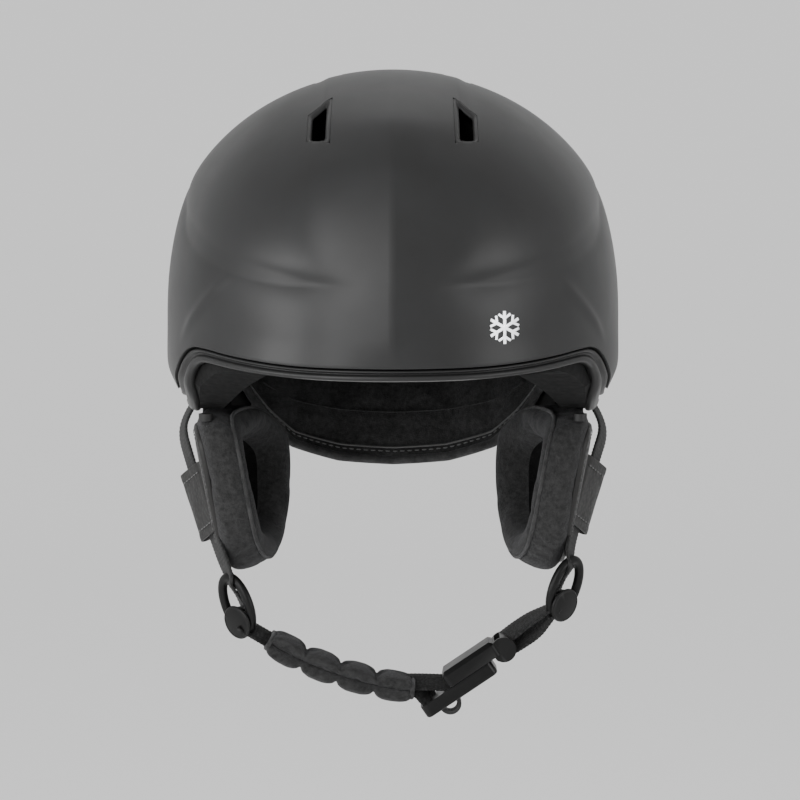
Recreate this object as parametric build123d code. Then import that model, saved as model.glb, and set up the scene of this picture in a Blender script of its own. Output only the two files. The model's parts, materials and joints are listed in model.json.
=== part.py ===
"""Ski helmet: an in-moulded shell and foam liner with vents, a dial fit system, ear pads and a chin strap.

Frame, in millimetres: +Z is up, -Y is the front, +X is the wearer's left. The origin is the centre of the
head opening, on the symmetry plane, level with the shell's side edges. Parts named left are at +X.
"""

from build123d import *
from math import atan2, cos, degrees, pi, radians, sin, sqrt, tan
import os

# ---------------------------------------------------------------- driving dimensions: the outer form
CROWN = (105.4, 129.8, 91.0)  # semi-axes of the crown, above CROWN_Z
CROWN_Z = 62.7
FLANK = (105.8, 139.6, 161.8)  # semi-axes of the flatter sides
FLANK_Z = 31.2
PROFILE = (155.0, 131.0, 130.0)  # semi-axes that tuck the nape and the brow in
PROFILE_Z = 37.0
SKIRT_LOW = (68.6, 97.0)  # ellipse at z = -SKIRT_H, where the sides turn in
SKIRT_HIGH = (125.0, 177.0)  # ellipse at z = +SKIRT_H
SKIRT_H = 60.0

SHELL_T = 2.5
SHELL_GAP = 0.2  # glue line between shell and foam
RIM_INSET = 1.0
RIM_T = 3.5
RIM_LIP = 1.6
SEAM = 0.8  # groove between the shell's edge and the rim

# Side-view outlines, as (y, z), front to back.
SHELL_EDGE = [(-140, 24.5), (-82, 28.5), (-72, 28.0), (-44, 9.5)]
SHELL_EDGE += [(-30, 7.0), (40, 5.0), (80, -10.0), (140, -16.0)]
RIM_EDGE = [(-140, 17.2), (-84, 18.6), (-76, 16.5), (-46, 1.5)]
RIM_EDGE += [(-36, -2.5), (40, -3.0), (80, -22.0), (140, -28.0)]

# ---------------------------------------------------------------- head opening and comfort pads
CAVITY = (83.0, 102.0, 95.0)
CAVITY_Z = 30.0
PAD_GAP = 0.4
PAD_T = 5.0

# ---------------------------------------------------------------- vents and their slider
HALF = 0.5
FRONT_VENT = [(29.8, -79.0), (36.2, -76.5), (36.0, -56.5), (29.4, -51.5)]  # plan view
TOP_VENT = [(25.5, -5.0), (34.0, -7.0), (35.0, 14.0), (26.5, 18.0)]
REAR_VENT = [(21.0, 70.0), (37.0, 66.0), (35.0, 54.0), (21.0, 57.0)]  # seen from behind, as (x, z)
BEZEL_W = 2.2
BEZEL_DEPTH = 3.0
SWING_Y = 1.5  # axis that the shutter turns about, parallel to X
SWING_Z = -6.0
SHUTTER_OFFSET = 4.6
SHUTTER_T = 1.2
RUNNER = (24.5, 39.5)
RUNNER_Y = (-49.5, 68.0)  # open position; it turns 13 degrees forwards to close
KNOB_R = (161.2, 164.8)
KNOB_Y = (58.0, 66.0)
KNOB_SLOT = (21.3, 67.0)

# ---------------------------------------------------------------- fit system, in a plane tilted down behind
FIT_ORIGIN = (0.0, 12.0, 4.0)
FIT_TILT = -16.0
BAND_R = 84.0
BAND_T = 1.6
BAND_H = 12.0
BAND_END = 112.0  # degrees from the back
TAIL_END = 15.0
TAIL_Z = (6.25, 9.5)
STRIP_START = 20.0  # degrees from the back
STRIP_FULL = 40.0  # the strip has its full height from here on
RACK_ROOM_Z = -3.8  # the strip stays above this beside the other band's teeth
MODULE = 1.0
TEETH = 10
BACKLASH = 0.12
PINION_Y = (83.0, 85.2)
HOUSING_R = (81.0, 82.7, 85.5, 87.8)  # the cradle's two faces, the housing's cavity, its outer face
DIAL_R = 18.0
DIAL_Y = (88.4, 99.0)
ARCH_R = 21.5  # clearance cut in the shell, rim and foam around the dial

# ---------------------------------------------------------------- ear pads
EAR_TILT = 11.0
EAR_PIVOT = (80.0, 0.0, -4.0)
EAR_CENTRE_Y = -20.0
EAR_INNER = (66.0, 92.0)
EAR_OUTER = (91.0, 111.0)
COVER_T = 3.0
EAR_OUTLINE = [(-46, -4.6), (12, -4.6), (42, -17), (42, -34), (28, -62)]
EAR_OUTLINE += [(4, -79), (-18, -79), (-38, -62), (-46, -30)]

# ---------------------------------------------------------------- webbing, dividers, chin pad and buckle
WEB_W = 16.0
WEB_T = 1.4
CHIN_Y = -28.0
STRAP_TILT = 17.0  # degrees that the front straps lean, lower end forwards
STRAP_FOOT = (-30.0, -79.0)  # (y, z) that they lean about
# Front view of the two front straps, as (distance from the symmetry plane, z).
STRAP_TOP = [(89.2, 6.6), (91.6, 1.0), (96.4, -6.5), (98.4, -14.0)]
FRONT_STRAP_RIGHT = STRAP_TOP + [(95.0, -25.5), (81.5, -65.5), (75.6, -79.0)]
FRONT_STRAP_LEFT = STRAP_TOP + [(94.8, -24.5), (83.4, -60.0), (81.6, -71.0)]
SLEEVE_L = 33.0
# The rear straps, as (distance from the symmetry plane, y, z).
REAR_TOP = [(82.6, 46.0, 1.4), (83.4, 44.0, -7.0), (85.6, 27.0, -32.0)]
REAR_STRAP_RIGHT = REAR_TOP + [(82.8, 2.0, -60.0), (78.4, -20.0, -75.0)]
REAR_STRAP_LEFT = REAR_TOP + [(84.4, 4.0, -54.0), (82.9, -19.0, -67.0)]
DIVIDER = (22.0, 31.0, 4.4)  # width, length, thickness
DIVIDER_RIGHT = (-72.2, -29.0, -92.6)
DIVIDER_LEFT = (79.6, -29.0, -84.6)
DIVIDER_LEAN = 19.0  # degrees from upright, lower end towards the chin
DIVIDER_TURN = 50.0  # degrees that its face turns outwards from the front
LOCK_HINGE = (-1.0, 2.7)  # (y, z) of the lock's hinge in the divider's frame
LOCK_BARREL = (0.9, 7.0)  # radius and length of its barrel
CHIN_PAD = [(-57.0, -109.5), (-27.0, -123.8), (9.0, -132.0)]
CHIN_PAD_SIZE = (24.0, 10.0)
BUCKLE_END = (17.5, CHIN_Y, -139.4)  # where the chin pad's webbing enters the buckle
BUCKLE_SLOPE = 34.0
BUCKLE_X = (-4.0, 35.0)  # the lower half's span along the buckle
BUCKLE_Z = (-4.1, 2.3)
BOSS_X = 20.0  # the magnet's place along the buckle
LATCH_X = (12.0, 41.0)
LATCH_Z = (2.6, 10.2)
LATCH_PIVOT = (65.0, CHIN_Y, -98.5)  # where the left chin strap bends as the buckle opens
BUCKLE_W = 20.0
STRAP_EYE_R = 6.6  # the strap's rounded end at that bend
MAGNET_R = 4.0

# ---------------------------------------------------------------- goggle clip on the back
CLIP_W = 22.0
CLIP_Z = (14.0, 62.0)
CLIP_HINGE_Z = 66.0

PARTS = {}


def add(name, shape):
    """Keeps a shape under its node's name."""
    PARTS[name] = shape


def both_sides(name, shape):
    """A pair: the given left piece, and its mirror on the wearer's right."""
    add(f"{name}_left", shape)
    add(f"{name}_right", mirror(shape, about=Plane.YZ))


# ================================================================ outer form and general tools
def ellipsoid(axes, z):
    return Pos(0, 0, z) * scale(Sphere(1), by=axes)


def shrunk(axes, inset):
    return tuple(a - inset for a in axes)


def helmet_form(inset):
    """The solid inside the outer surface, moved in by inset."""
    crown = ellipsoid(shrunk(CROWN, inset), CROWN_Z)
    crown &= Pos(0, 0, CROWN_Z) * Box(300, 300, 200, align=(Align.CENTER, Align.CENTER, Align.MIN))
    barrel = Pos(0, 0, -80) * extrude(Ellipse(CROWN[0] - inset, CROWN[1] - inset), CROWN_Z + 80)
    skirt = loft(
        [
            Pos(0, 0, -SKIRT_H) * Ellipse(SKIRT_LOW[0] - inset, SKIRT_LOW[1] - inset),
            Pos(0, 0, SKIRT_H) * Ellipse(SKIRT_HIGH[0] - inset, SKIRT_HIGH[1] - inset),
        ]
    )
    tall = Pos(0, 0, SKIRT_H) * extrude(Ellipse(SKIRT_HIGH[0] - inset, SKIRT_HIGH[1] - inset), 120)
    body = (crown + barrel) & ellipsoid(shrunk(FLANK, inset), FLANK_Z)
    return body & ellipsoid(shrunk(PROFILE, inset), PROFILE_Z) & (skirt + tall)


def head_space(inset):
    """The head's space: an ellipsoid above CAVITY_Z and an upright barrel below it."""
    axes = shrunk(CAVITY, inset)
    upper = ellipsoid(axes, CAVITY_Z) & Pos(0, 0, CAVITY_Z) * Box(
        300, 300, 200, align=(Align.CENTER, Align.CENTER, Align.MIN)
    )
    lower = Pos(0, 0, -70) * extrude(Ellipse(axes[0], axes[1]), CAVITY_Z + 70)
    return upper + lower


def above(edge, lift=0.0):
    """Everything above a side-view outline."""
    points = [(y, z + lift) for y, z in edge]
    corners = points + [(points[-1][0], 200), (points[0][0], 200)]
    face = make_face(Plane.YZ * Polyline(*corners, close=True))
    return extrude(face, 150, both=True)


def plan_prism(points, grow=0.0, low=-20.0, high=200.0):
    """An upright prism over a plan-view outline and its mirror image."""
    face = make_face(Polyline(*points, close=True))
    if grow:
        face = offset(face, amount=grow, kind=Kind.INTERSECTION)
    one = Pos(0, 0, low) * extrude(face, high - low)
    return one + mirror(one, about=Plane.YZ)


def rear_prism(points, grow=0.0, low=60.0, high=160.0):
    """A prism along Y through the back, from an (x, z) outline, and its mirror image."""
    face = make_face(Polyline(*points, close=True))
    if grow:
        face = offset(face, amount=grow, kind=Kind.INTERSECTION)
    one = extrude(Plane(origin=(0, high, 0), x_dir=(1, 0, 0), z_dir=(0, -1, 0)) * face, high - low)
    return one + mirror(one, about=Plane.YZ)


# ================================================================ fit system
FIT = Pos(*FIT_ORIGIN) * Rot(FIT_TILT, 0, 0)


def ring(r_in, r_out, z_low, z_high):
    """An upright ring about the fit frame's axis, in that frame."""
    height = z_high - z_low
    base = Align.CENTER, Align.CENTER, Align.MIN
    return Pos(0, 0, z_low) * (Cylinder(r_out, height, align=base) - Cylinder(r_in, height, align=base))


def wedge(from_back_a, from_back_b, z_low, z_high, reach=130.0):
    """A wedge between two angles, in degrees from the back (+Y) towards +X."""
    steps = 4
    turn = (from_back_b - from_back_a) / steps
    points = [(0, 0)]
    for i in range(steps + 1):
        a = radians(from_back_a + i * turn)
        points.append((reach * sin(a), reach * cos(a)))
    return Pos(0, 0, z_low) * extrude(make_face(Polyline(*points, close=True)), z_high - z_low)


def sector(r_in, r_out, z_low, z_high, from_back_a, from_back_b):
    return ring(r_in, r_out, z_low, z_high) & wedge(from_back_a, from_back_b, z_low - 1, z_high + 1)


def fit_band():
    """The wearer's left band: a strip beside the head, and a rack above the pinion."""
    r_in, r_out = BAND_R - BAND_T / 2, BAND_R + BAND_T / 2
    strip = sector(r_in, r_out, -BAND_H / 2, BAND_H / 2, STRIP_FULL, BAND_END)
    strip += sector(r_in, r_out, RACK_ROOM_Z, BAND_H / 2, STRIP_START, STRIP_FULL + 1)
    neck = sector(r_in, r_out, RACK_ROOM_Z, TAIL_Z[1], STRIP_START, STRIP_START + 4)
    tail = sector(r_in, r_out, TAIL_Z[0], TAIL_Z[1], -TAIL_END, STRIP_START + 1)
    band = strip + neck + tail
    pitch_z = TEETH * MODULE / 2
    tooth = rack_tooth(pitch_z)
    step = degrees(pi * MODULE / BAND_R)
    count = int((TAIL_END - 1) / step)
    for i in range(-count, count + 1):
        placed = Rot(0, 0, -i * step) * tooth
        band += placed & ring(r_in, r_out, 0, TAIL_Z[1])
    for a in (40, 55, 70, 85, 100):
        band -= Rot(0, 0, -a) * Pos(0, BAND_R, 0) * Rot(90, 0, 0) * Cylinder(1.8, 6)
    return band


def rack_tooth(pitch_z):
    """One downward tooth at the back, as a prism along Y."""
    half = pi * MODULE / 4 - BACKLASH
    slope = tan(radians(20))
    top = TAIL_Z[0] + 0.3
    tip = pitch_z - 0.75 * MODULE
    outline = [
        (-half - slope * (top - pitch_z), top),
        (half + slope * (top - pitch_z), top),
        (half - slope * (pitch_z - tip), tip),
        (-half + slope * (pitch_z - tip), tip),
    ]
    face = make_face(Plane.XZ * Polyline(*outline, close=True))
    return extrude(face, BAND_R + 5, dir=(0, 1, 0))


def pinion():
    """Ten teeth with involute flanks, each a prism along the dial's axis, and the shaft."""
    pitch_r = TEETH * MODULE / 2
    base_r = pitch_r * cos(radians(20))
    tip_r, root_r = pitch_r + 0.85 * MODULE, pitch_r - 1.15 * MODULE
    at_pitch = (pi * MODULE / 4 - BACKLASH) / pitch_r
    lead = tan(radians(20)) - radians(20)

    def half_angle(r):
        if r <= base_r:
            return at_pitch + lead - 0.05 * (base_r - r)
        a = sqrt((r / base_r) ** 2 - 1)
        return at_pitch + lead - (a - atan2(a, 1))

    radii = [root_r - 0.4, base_r, (base_r + tip_r) / 2, tip_r]
    flank = [(r * sin(half_angle(r)), r * cos(half_angle(r))) for r in radii]
    outline = [(-x, z) for x, z in flank] + flank[::-1]
    face = make_face(Polyline(*outline, close=True))
    gear = Circle(root_r)
    for i in range(TEETH):
        gear += Rot(0, 0, (i + HALF) * 360 / TEETH) * face
    wheel = extrude(Plane.XZ * gear, -(PINION_Y[1] - PINION_Y[0]))
    shaft = Plane.XZ * Circle(3.0)
    wheel = Pos(0, PINION_Y[0], 0) * wheel
    wheel += Pos(0, PINION_Y[1], 0) * extrude(shaft, -(DIAL_Y[1] - 4.2 - PINION_Y[1]))
    return wheel


def dial_knob():
    """The knob: a cup with grip flutes around its edge and a bore for the shaft."""
    depth = DIAL_Y[1] - DIAL_Y[0]
    knob = Cylinder(DIAL_R, depth)
    knob = fillet(knob.edges().filter_by(GeomType.CIRCLE), 1.2)
    for i in range(24):
        knob -= Rot(0, 0, i * 15) * Pos(DIAL_R + 0.7, 0, 0) * Cylinder(1.4, depth)
    knob -= Cylinder(3.05, depth)
    grip = Pos(0, 0, depth / 2) * (Cylinder(12, 3) - Cylinder(6, 3))
    knob -= grip
    return Pos(0, sum(DIAL_Y) / 2, 0) * Rot(-90, 0, 0) * knob


def dial_screw():
    """The screw whose head sits over the shaft's end, in the knob's bore."""
    y = DIAL_Y[1] - 4.2
    head = Cylinder(3.0, 2.4) - Pos(0, 0, 0.9) * (Box(4, 0.8, 0.8) + Box(0.8, 4, 0.8))
    return Pos(0, y + 1.3, 0) * Rot(-90, 0, 0) * head


def make_fit_system():
    r0, r1, r2, r3 = HOUSING_R
    cradle = sector(r0, r1, -13, 13, -25, 25)
    housing = sector(r1, r3, -13, 13, -22, 22) - sector(r1 - 1, r2, -10, 10, -30, 30)
    housing -= Pos(0, r3, 0) * Rot(90, 0, 0) * Cylinder(3.1, 12)
    screws = None
    for a in (-19, 19):
        for z in (-11.5, 11.5):
            shank = Rot(0, 0, -a) * Pos(0, (r0 + r3) / 2, z) * Rot(90, 0, 0) * Cylinder(0.9, r3 - r0 - 0.6)
            screws = shank if screws is None else screws + shank
    add("cradle_plate", FIT * (cradle - screws))
    add("dial_housing", FIT * (housing - screws))
    add("housing_screws", FIT * screws)

    band = fit_band()
    add("headband_left", FIT * band)
    # The right band's rack is below the pinion: it is the left one, turned half a turn about the dial's axis.
    add("headband_right", FIT * Rot(0, 180, 0) * band)

    add("dial_pinion", FIT * pinion())
    add("dial_knob", FIT * dial_knob())
    add("dial_screw", FIT * dial_screw())

    half_t = BAND_T / 2
    clip = sector(BAND_R - half_t - 1.6, BAND_R + half_t + 1.6, -7.4, 7.4, 86, 92)
    clip -= sector(BAND_R - half_t - 0.3, BAND_R + half_t + 0.3, -6.3, 6.3, 84, 94)
    other = mirror(clip, about=Plane.YZ)
    add("headband_guides", FIT * (clip + other))

    pad = sector(76.2, 80.7, -20, 8, -52, 52)
    add("neck_pad", FIT * pad)


# ================================================================ shell, rim and foam
def dial_arch():
    """Clearance around the dial, along its axis."""
    return FIT * Pos(0, 120, 0) * Rot(90, 0, 0) * Cylinder(ARCH_R, 76)


def shutter_section(offset_out, offset_in, x_in, x_out):
    """The crown's cross-section between two offsets, as a face in XZ at the swing axis's Y."""
    outer = Ellipse(CROWN[0] - offset_out, CROWN[2] - offset_out)
    inner = Ellipse(CROWN[0] - offset_in, CROWN[2] - offset_in)
    band = Pos((x_in + x_out) / 2, 100) * Rectangle(x_out - x_in, 200)
    face = (outer - inner) & band
    return Pos(0, SWING_Y, CROWN_Z) * (Plane.XZ * face)


def swung(face, y_front, y_back, radius=150.0):
    """A face turned about the shutter's axis, between two places given by their Y at that radius."""
    axis = Axis((0, SWING_Y, SWING_Z), (1, 0, 0))
    start = degrees(atan2(y_front - SWING_Y, radius))
    end = degrees(atan2(y_back - SWING_Y, radius))
    return revolve(face.rotate(axis, -start), axis, -(end - start))


def make_shell(forms):
    pocket_depth = SHUTTER_OFFSET + SHUTTER_T + 1.0
    half_span = RUNNER[1] + 1.0
    pocket = swung(shutter_section(0, pocket_depth, RUNNER[0] - 1.0, half_span), -98, RUNNER_Y[1] + 4)
    pocket += mirror(pocket, about=Plane.YZ)
    pocket += swung(shutter_section(0, pocket_depth, -half_span, half_span), 16, RUNNER_Y[1] + 4)

    vents = plan_prism(FRONT_VENT, BEZEL_W) + plan_prism(TOP_VENT, BEZEL_W) + rear_prism(REAR_VENT, BEZEL_W)
    holes = plan_prism(FRONT_VENT) + plan_prism(TOP_VENT) + rear_prism(REAR_VENT)
    slot = Pos(0, sum(KNOB_SLOT) / 2, 140) * Box(9, KNOB_SLOT[1] - KNOB_SLOT[0], 60)

    shell = (forms[0] - forms[SHELL_T]) & above(SHELL_EDGE)
    shell = shell - vents - slot - dial_arch()
    add("outer_shell", shell)

    bezels = forms[0.4] - forms[BEZEL_DEPTH]
    for name, outer, inner in (
        ("vent_bezels_front", plan_prism(FRONT_VENT, BEZEL_W - 0.1), plan_prism(FRONT_VENT)),
        ("vent_bezels_top", plan_prism(TOP_VENT, BEZEL_W - 0.1), plan_prism(TOP_VENT)),
        ("vent_bezels_rear", rear_prism(REAR_VENT, BEZEL_W - 0.1), rear_prism(REAR_VENT)),
    ):
        add(name, bezels & outer - inner)

    rim_zone = above(RIM_EDGE) - above(SHELL_EDGE, -SEAM)
    rim = (forms[RIM_INSET] - forms[RIM_INSET + RIM_T]) & rim_zone
    lip_zone = above(RIM_EDGE) - above(RIM_EDGE, RIM_LIP)
    lip = (forms[RIM_INSET + RIM_T] - head_space(-1.0)) & lip_zone
    channel = FIT * ring(81.0, 87.2, -8.4, 10.5)
    straps = strap_room()
    add("lower_rim", rim + lip - dial_arch() - channel - straps)

    foam = (forms[SHELL_T + SHELL_GAP] - head_space(0)) & above(RIM_EDGE, RIM_LIP + 0.2)
    low_skin = forms[SHELL_T + SHELL_GAP] - forms[RIM_INSET + RIM_T + 0.2] - above(SHELL_EDGE, 0.6)
    foam = foam - low_skin - holes - vents_in_foam() - pocket - dial_arch() - channel
    foam -= FIT * sector(78, 90, -14, 14, -34, 34)
    foam = foam - straps - anchors(0.3)
    add("foam_liner", foam)


def vents_in_foam():
    """The bezels' seats, a little deeper than the bezels."""
    seats = plan_prism(FRONT_VENT, BEZEL_W + 0.2) + plan_prism(TOP_VENT, BEZEL_W + 0.2)
    return (seats + rear_prism(REAR_VENT, BEZEL_W + 0.2)) & (FORMS[0] - FORMS[BEZEL_DEPTH + 0.2])


def make_vent_slider():
    section = (SHUTTER_OFFSET, SHUTTER_OFFSET + SHUTTER_T)
    runner = swung(shutter_section(*section, *RUNNER), *RUNNER_Y)
    windows = plan_prism(FRONT_VENT, 1.0) + plan_prism(TOP_VENT, 1.0)
    shutter = runner + mirror(runner, about=Plane.YZ)
    shutter += swung(shutter_section(*section, -RUNNER[1], RUNNER[1]), KNOB_Y[0] - 2, RUNNER_Y[1])
    shutter -= windows
    add("vent_shutter", shutter)

    stem_low = CROWN_Z - SWING_Z + CROWN[2] - SHUTTER_OFFSET
    stem = swung(radial_section(stem_low, KNOB_R[0], 3.8), KNOB_Y[0], KNOB_Y[1])
    cap = swung(radial_section(KNOB_R[0], KNOB_R[1], 8.0), KNOB_Y[0] - 9, KNOB_Y[1] + 9)
    for y in (-6, -2, 2, 6):
        middle = sum(KNOB_Y) / 2 + y
        cap -= swung(radial_section(KNOB_R[1] - 0.8, KNOB_R[1] + 2, 9.0), middle - HALF, middle + HALF)
    add("vent_slider_knob", cap + stem)


def radial_section(r_low, r_high, half_width):
    """A rectangle in XZ at the swing axis's Y, between two radii from that axis."""
    face = Pos(0, (r_low + r_high) / 2) * Rectangle(2 * half_width, r_high - r_low)
    return Pos(0, SWING_Y, SWING_Z) * (Plane.XZ * face)


# ================================================================ comfort pads
def make_comfort_pads():
    skin = head_space(PAD_GAP) - head_space(PAD_GAP + PAD_T)

    def region(z_low, z_high, a, b):
        """A block of the lining between two heights and two angles, counted from the back."""
        return skin & wedge(a, b, z_low, z_high)

    add("brow_pad", region(22, 50, 128, 232))
    side = region(22, 46, 62, 122)
    both_sides("side_pad", side)
    add("rear_pad", region(24, 50, -54, 54))
    crown = skin & Pos(0, 5, 100) * Box(49, 120, 80)
    crown -= Pos(0, 5, 100) * Box(18, 84, 90)
    add("crown_pad", crown)


# ================================================================ ear pads and their sleeves
def ear_frame(shape):
    """Leans a left ear piece in at the bottom, about a line along Y."""
    return Pos(*EAR_PIVOT) * Rot(0, EAR_TILT, 0) * Pos(*[-c for c in EAR_PIVOT]) * shape


def ear_layer(inner, outer, outline_grow=0.0):
    """What lies between two plan ellipses, inside the ear pad's side outline."""
    outline = Plane.YZ * make_face(Polyline(*EAR_OUTLINE, close=True))
    outline = fillet(outline.vertices(), 9)
    if outline_grow:
        outline = offset(outline, amount=outline_grow, kind=Kind.ARC)
    slab = extrude(outline, 120)
    wall = Ellipse(*outer) - Ellipse(*inner)
    return slab & Pos(0, EAR_CENTRE_Y, -100) * extrude(wall, 120)


def make_ear_pads():
    cover_out = tuple(a + COVER_T for a in EAR_OUTER)
    studs = None
    for y in (-38, -2):
        stud = Pos(86, y, -4.6) * Cylinder(3.2, 3.4)
        studs = stud if studs is None else studs + stud
    cushion = ear_frame(ear_layer(EAR_INNER, EAR_OUTER)) - studs
    cover = ear_frame(ear_layer(EAR_OUTER, cover_out, -1.5)) - studs
    for name, points, rear, side in (
        ("left", FRONT_STRAP_LEFT, REAR_STRAP_LEFT, 1),
        ("right", FRONT_STRAP_RIGHT, REAR_STRAP_RIGHT, -1),
    ):
        room = front_strap(points, 1.2) + sleeve_block(points, 0.4) + rear_strap(rear, 1.2)
        sleeve = sleeve_block(points, 0) - front_strap(points, 0.8)
        pieces = {"ear_pad": cushion - room, "ear_pad_cover": cover - room, "strap_sleeve": sleeve}
        for kind, shape in pieces.items():
            add(f"{kind}_{name}", shape if side > 0 else mirror(shape, about=Plane.YZ))
    both_sides("ear_pad_snaps", studs)


def sleeve_block(points, grow):
    """A flat tube around the straight run of a front strap."""
    (x0, z0), (x1, z1) = [slanted(p) for p in points[4:6]]
    lean = degrees(atan2(x0 - x1, z0 - z1))
    block = Box(4.2 + 2 * grow, WEB_W + 8 + 2 * grow, SLEEVE_L + 2 * grow)
    return tilted(Pos((x0 + x1) / 2, STRAP_FOOT[0], (z0 + z1) / 2) * Rot(0, lean, 0) * block)


# ================================================================ webbing
def ribbon(points, width, thickness, y):
    """A flat strap whose run is in the XZ plane at y, and whose width is along Y."""
    runs = [sqrt((a[0] - b[0]) ** 2 + (a[1] - b[1]) ** 2) for a, b in zip(points, points[1:])]
    radii = [min(6.0, 0.35 * min(a, b)) for a, b in zip(runs, runs[1:])]
    line = FilletPolyline(*points, radius=radii)
    outline = offset(line, amount=thickness / 2, side=Side.BOTH, kind=Kind.INTERSECTION)
    face = make_face(outline.edges())
    return Pos(0, y, 0) * extrude(Plane.XZ * face, width / 2, both=True)


def strap_3d(points, width, thickness):
    """A flat strap of straight runs, each lying flat against an upright surface, joined by round hinges."""
    strap = None
    for a, b in zip(points, points[1:]):
        start, end = Vector(*a), Vector(*b)
        along = end - start
        out = Vector(1, 0, 0) - along.normalized() * along.normalized().X
        plane = Plane(origin=(start + end) * HALF, x_dir=out, z_dir=along)
        piece = plane * Box(thickness, width, along.length + 0.35 * width)
        strap = piece if strap is None else strap + piece
    return strap


def slanted(point):
    """A front-view point, as it is drawn on the front strap's own leaning plane."""
    foot = STRAP_FOOT[1]
    return point[0], foot + (point[1] - foot) / cos(radians(STRAP_TILT))


def tilted(shape):
    """Leans a shape drawn upright at the strap's foot."""
    return Pos(0, *STRAP_FOOT) * Rot(-STRAP_TILT, 0, 0) * Pos(0, -STRAP_FOOT[0], -STRAP_FOOT[1]) * shape


def front_strap(points, grow=0.0):
    return tilted(ribbon([slanted(p) for p in points], WEB_W + 1.2 * grow, WEB_T + grow, STRAP_FOOT[0]))


def rear_strap(points, grow=0.0):
    return strap_3d(points, WEB_W - 4 + 1.2 * grow, WEB_T + grow)


def divider_room(centre, side):
    """The divider and its closed lock, a little larger."""
    width, length, t = DIVIDER
    room = extrude(Ellipse(width / 2 + HALF, length / 2 + HALF), t, both=True)
    return divider_place(centre, side) * Pos(0, 0, 1.2) * room


def make_straps():
    for name, points, rear, centre, side in (
        ("left", FRONT_STRAP_LEFT, REAR_STRAP_LEFT, DIVIDER_LEFT, 1),
        ("right", FRONT_STRAP_RIGHT, REAR_STRAP_RIGHT, DIVIDER_RIGHT, -1),
    ):
        room = divider_room(centre, side)
        behind = rear_strap(rear) - front_strap(points, 1.0) - sleeve_block(points, 0.4)
        for kind, strap in (("front", front_strap(points)), ("rear", behind)):
            strap = strap - anchors_one_side()
            strap = strap if side > 0 else mirror(strap, about=Plane.YZ)
            strap = max((strap - room).solids(), key=lambda piece: piece.volume)
            add(f"{kind}_strap_{name}", strap)
    both_sides("strap_anchors", anchors_one_side())


def anchors_one_side(grow=0.0):
    """The blocks that the two straps of one side hang from, inside the foam."""
    x, z = slanted(STRAP_TOP[0])
    front = tilted(Pos(x, STRAP_FOOT[0], z + 3.2) * Box(6 + 2 * grow, WEB_W + 2 * grow, 6 + 2 * grow))
    x, y, z = REAR_TOP[0]
    return front + Pos(x + 0.5, y + 1, z + 6.2) * Box(4.4 + 2 * grow, WEB_W - 4 + 2 * grow, 6 + 2 * grow)


def anchors(grow):
    one = anchors_one_side(grow)
    return one + mirror(one, about=Plane.YZ)


def strap_room():
    """Slits in the rim and the foam for the straps."""
    one = front_strap(STRAP_TOP + [(95.0, -25.0)], 1.2) + rear_strap(REAR_TOP, 1.2)
    return one + mirror(one, about=Plane.YZ)


# ================================================================ dividers
def divider_place(centre, side):
    """The divider's frame: local y along the strap, local z out of its face. side is +1 on the left."""
    lean, turn = radians(DIVIDER_LEAN), radians(DIVIDER_TURN)
    up = Vector(side * sin(lean), 0, cos(lean))
    across = Vector(cos(lean), 0, -side * sin(lean))
    facing = Vector(0, -1, 0) * cos(turn) + across * (side * sin(turn))
    return Plane(origin=centre, x_dir=up.cross(facing), z_dir=facing)


def divider_frame():
    w, length, t = DIVIDER
    body = extrude(Ellipse(w / 2, length / 2), t / 2, both=True)
    body = fillet(body.edges().filter_by(lambda e: e.length > 40), 1.2)
    slot_up = Pos(0, 5.2, 0) * extrude(Ellipse(w / 2 - 3.6, 6.6), t, both=True)
    slot_low = Pos(0, -6.8, 0) * Box(w - 9, 5.4, 2 * t)
    seat = Pos(0, -6.8, t / 2 - 0.6) * Box(w - 6.6, 12.4, 2.4)
    return body - slot_up - slot_low - seat


def divider_lock():
    """The flap that clamps the webbing: a half-oval plate with a finger lip, hinged at its upper edge."""
    w, length, t = DIVIDER
    z = t / 2 - 1.0
    plate = extrude(Ellipse(w / 2 - 3.6, length / 2 - 3.2), 1.6)
    plate &= Pos(0, -7.2, 0) * Box(w, 12.0, 10)
    cap = Pos(0, 0, 1.4) * extrude(Ellipse(w / 2 - 0.6, length / 2 - 0.4), 1.6)
    cap &= Pos(0, -8.6, 0) * Box(w, 15.4, 10)
    barrel = Pos(0, LOCK_HINGE[0], LOCK_HINGE[1] - z) * Rot(0, 90, 0) * Cylinder(*LOCK_BARREL)
    return Pos(0, 0, z) * (plate + cap + barrel)


def make_dividers():
    for name, centre, side in (("left", DIVIDER_LEFT, 1), ("right", DIVIDER_RIGHT, -1)):
        place = divider_place(centre, side)
        add(f"divider_frame_{name}", place * divider_frame())
        add(f"divider_lock_{name}", place * divider_lock())


# ================================================================ chin pad and buckle
def chin_curve():
    (x0, z0), (x1, z1), (x2, z2) = CHIN_PAD
    return ThreePointArc((x0, z0), (x1, z1), (x2, z2))


def chin_ribbon(thickness, width):
    line = chin_curve()
    outline = offset(line, amount=thickness / 2, side=Side.BOTH, kind=Kind.INTERSECTION)
    return Pos(0, CHIN_Y, 0) * extrude(Plane.XZ * make_face(outline.edges()), width / 2, both=True)


def buckle_frame():
    """Local x runs up the buckle from the chin pad, local y is the helmet's, local z is out of its face."""
    a = radians(BUCKLE_SLOPE)
    return Plane(origin=BUCKLE_END, x_dir=(cos(a), 0, sin(a)), z_dir=(-sin(a), 0, cos(a)))


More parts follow.
